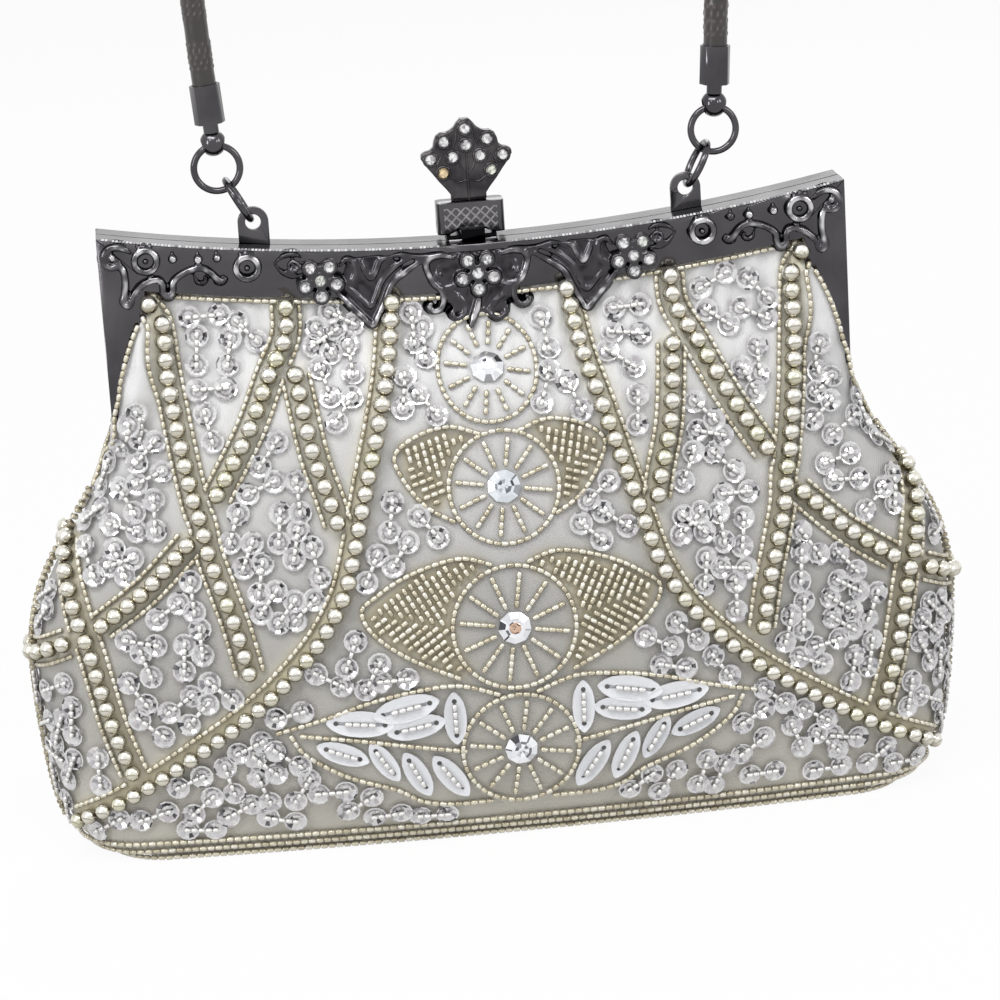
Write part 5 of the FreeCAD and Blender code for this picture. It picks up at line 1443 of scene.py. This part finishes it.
# The handle hangs from two punched eyelets on the back half by two wire rings
# at each end; its cast ferrules are eight-sided tubes with a drilled ball.
RING_WIRE, RING_LEAN = 0.000775, math.radians(29)
EYELET_RING, EYELET_RING_PLACE = 0.00505, (0.0508386, 0.0007, 0.1458457)
HANDLE_RING, HANDLE_RING_PLACE = 0.00503, (0.0549158, 0.0007, 0.1532013)
EYELET_EDGE, FERRULE_EDGE, FERRULE_ANGLE = 0.00012, 0.00028, 28
for word, hand in (("left", -1), ("right", 1)):
    eyelet = softened(f"handle_eyelet_{word}", f"eyelet_{word}", EYELET_EDGE)
    smooth_faces(eyelet)
    eyelet.data.materials.append(black_nickel)
    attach(eyelet, "back_half")
    for name, node, body_name, (x, y, z), turn, radius in (
            (f"low_ring_{word}", f"eyelet_ring_{word}", f"eyelet_ring_{word}",
             EYELET_RING_PLACE, (0, hand * (QUARTER + RING_LEAN), 0), EYELET_RING),
            (f"high_ring_{word}", f"handle_ring_{word}", "handle_rings",
             HANDLE_RING_PLACE, FACING, HANDLE_RING)):
        bpy.ops.object.select_all(action="DESELECT")
        ring = loop_at((hand * x, y, z), radius, RING_WIRE, 56, 14, turn)
        ring.name = name
        bpy.ops.object.transform_apply()
        bpy.ops.object.shade_smooth()
        ring.data.materials.append(black_nickel)
        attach(ring, body_name)
        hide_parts(node)
    ferrule = softened(f"ferrule_{word}", f"cord_end_{word}", FERRULE_EDGE)
    smooth_faces(ferrule, FERRULE_ANGLE)
    ferrule.data.materials.append(black_nickel)
    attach(ferrule, "handle")


# The handle is a stiff cord in a dark embossed leather sleeve: bands of raised
# grain dots between smooth bands, glued into the two ferrules.
CORD_PLANE = 0.0007
HALF_ROUTE = ((0.055769, 0.165401), (0.057722, 0.193333), (0.0586, 0.232), (0.0524, 0.268),
              (0.0334, 0.2935), (0.012, 0.304))
CORD_ROUTE = tuple((x, CORD_PLANE, z) for x, z in HALF_ROUTE + mirrored(HALF_ROUTE[::-1]))
CORD_RADIUS, CORD_LENGTH, CORD_AROUND, CORD_STEP = 0.00275, 0.339, 36, 0.0006
BAND_PITCH, BAND_SHARE, BAND_DRIFT = 0.0104, 0.55, 0.35
DOT_HEIGHT, DOTS_AROUND, DOT_ROWS = 0.00022, 11, 5
SLEEVE_SINK, FOLD_DEPTH, FOLD_RUN, FOLD_FINENESS, DRIFT_RUN = 0.00016, 0.00010, 260, 1.4, 60

route = bpy.data.curves.new("cord_route", "CURVE")
route.dimensions = "3D"
spline = route.splines.new("NURBS")
spline.points.add(len(CORD_ROUTE) - 1)
for spot, drawn in zip(spline.points, CORD_ROUTE):
    spot.co = (*drawn, 1.0)
spline.order_u, spline.use_endpoint_u, route.resolution_u = 3, True, 40
route_piece = bpy.data.objects.new("cord_route", route)
bpy.context.collection.objects.link(route_piece)
route_line = bpy.data.meshes.new_from_object(route_piece)
walk = [vertex.co.copy() for vertex in route_line.vertices]
bpy.data.objects.remove(route_piece)

run = run_along(walk)
count = round(run[-1] / CORD_STEP)
cord_points, cord_faces, cord_path, cord_grain = [], [], [], []
for number in range(count + 1):
    along = run[-1] * number / count
    k = min(max(bisect(run, along) - 1, 0), len(run) - 2)
    middle = walk[k].lerp(walk[k + 1], (along - run[k]) / (run[k + 1] - run[k]))
    ahead = (walk[min(k + 2, len(walk) - 1)] - walk[max(k - 1, 0)]).normalized()
    wide = Vector((0, 1, 0))
    out = ahead.cross(wide).normalized()
    cord_path.append(middle)
    band = (along / BAND_PITCH + BAND_DRIFT * noise(Vector((along * DRIFT_RUN, 0, 0)))) % 1.0
    row_place = band / BAND_SHARE * DOT_ROWS
    stagger = 0.5 * (int(row_place) % 2)
    for step in range(CORD_AROUND):
        turn = 2 * math.pi * step / CORD_AROUND
        dot = 0.0
        if band < BAND_SHARE:
            dot = max(0.0, math.sin(math.pi * (row_place % 1.0))
                      * math.cos(DOTS_AROUND * turn + 2 * math.pi * stagger))
        spot = Vector((math.cos(turn), math.sin(turn), along * FOLD_RUN))
        fold = FOLD_DEPTH * noise(spot * FOLD_FINENESS)
        reach = CORD_RADIUS - SLEEVE_SINK + fold + DOT_HEIGHT * dot
        cord_points.append(middle + (wide * math.cos(turn) + out * math.sin(turn)) * reach)
        cord_grain.append(dot)
        if number:
            here, there = number * CORD_AROUND, (number - 1) * CORD_AROUND
            beside = (step + 1) % CORD_AROUND
            cord_faces.append((there + step, there + beside, here + beside, here + step))
cord_faces += [tuple(range(CORD_AROUND - 1, -1, -1)),
               tuple(range(len(cord_points) - CORD_AROUND, len(cord_points)))]
cord_mesh = bpy.data.meshes.new("handle_sleeve")
cord_mesh.from_pydata(cord_points, [], cord_faces)
cord_mesh.attributes.new("grain", "FLOAT", "POINT").data.foreach_set("value", cord_grain)
cord = bpy.data.objects.new("handle_sleeve", cord_mesh)
bpy.context.collection.objects.link(cord)
to_edit(cord)
face_outwards()
bpy.ops.object.shade_smooth()
leather = sewn_finish(
    "embossed_leather", "grain",
    ((0.0, (0.022, 0.018, 0.017)), (0.35, (0.034, 0.028, 0.026)), (1.0, (0.15, 0.125, 0.115))),
    0.0, 0.34, 0.3)
cord.data.materials.append(leather)
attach(cord, "handle")
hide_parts("handle_cord")
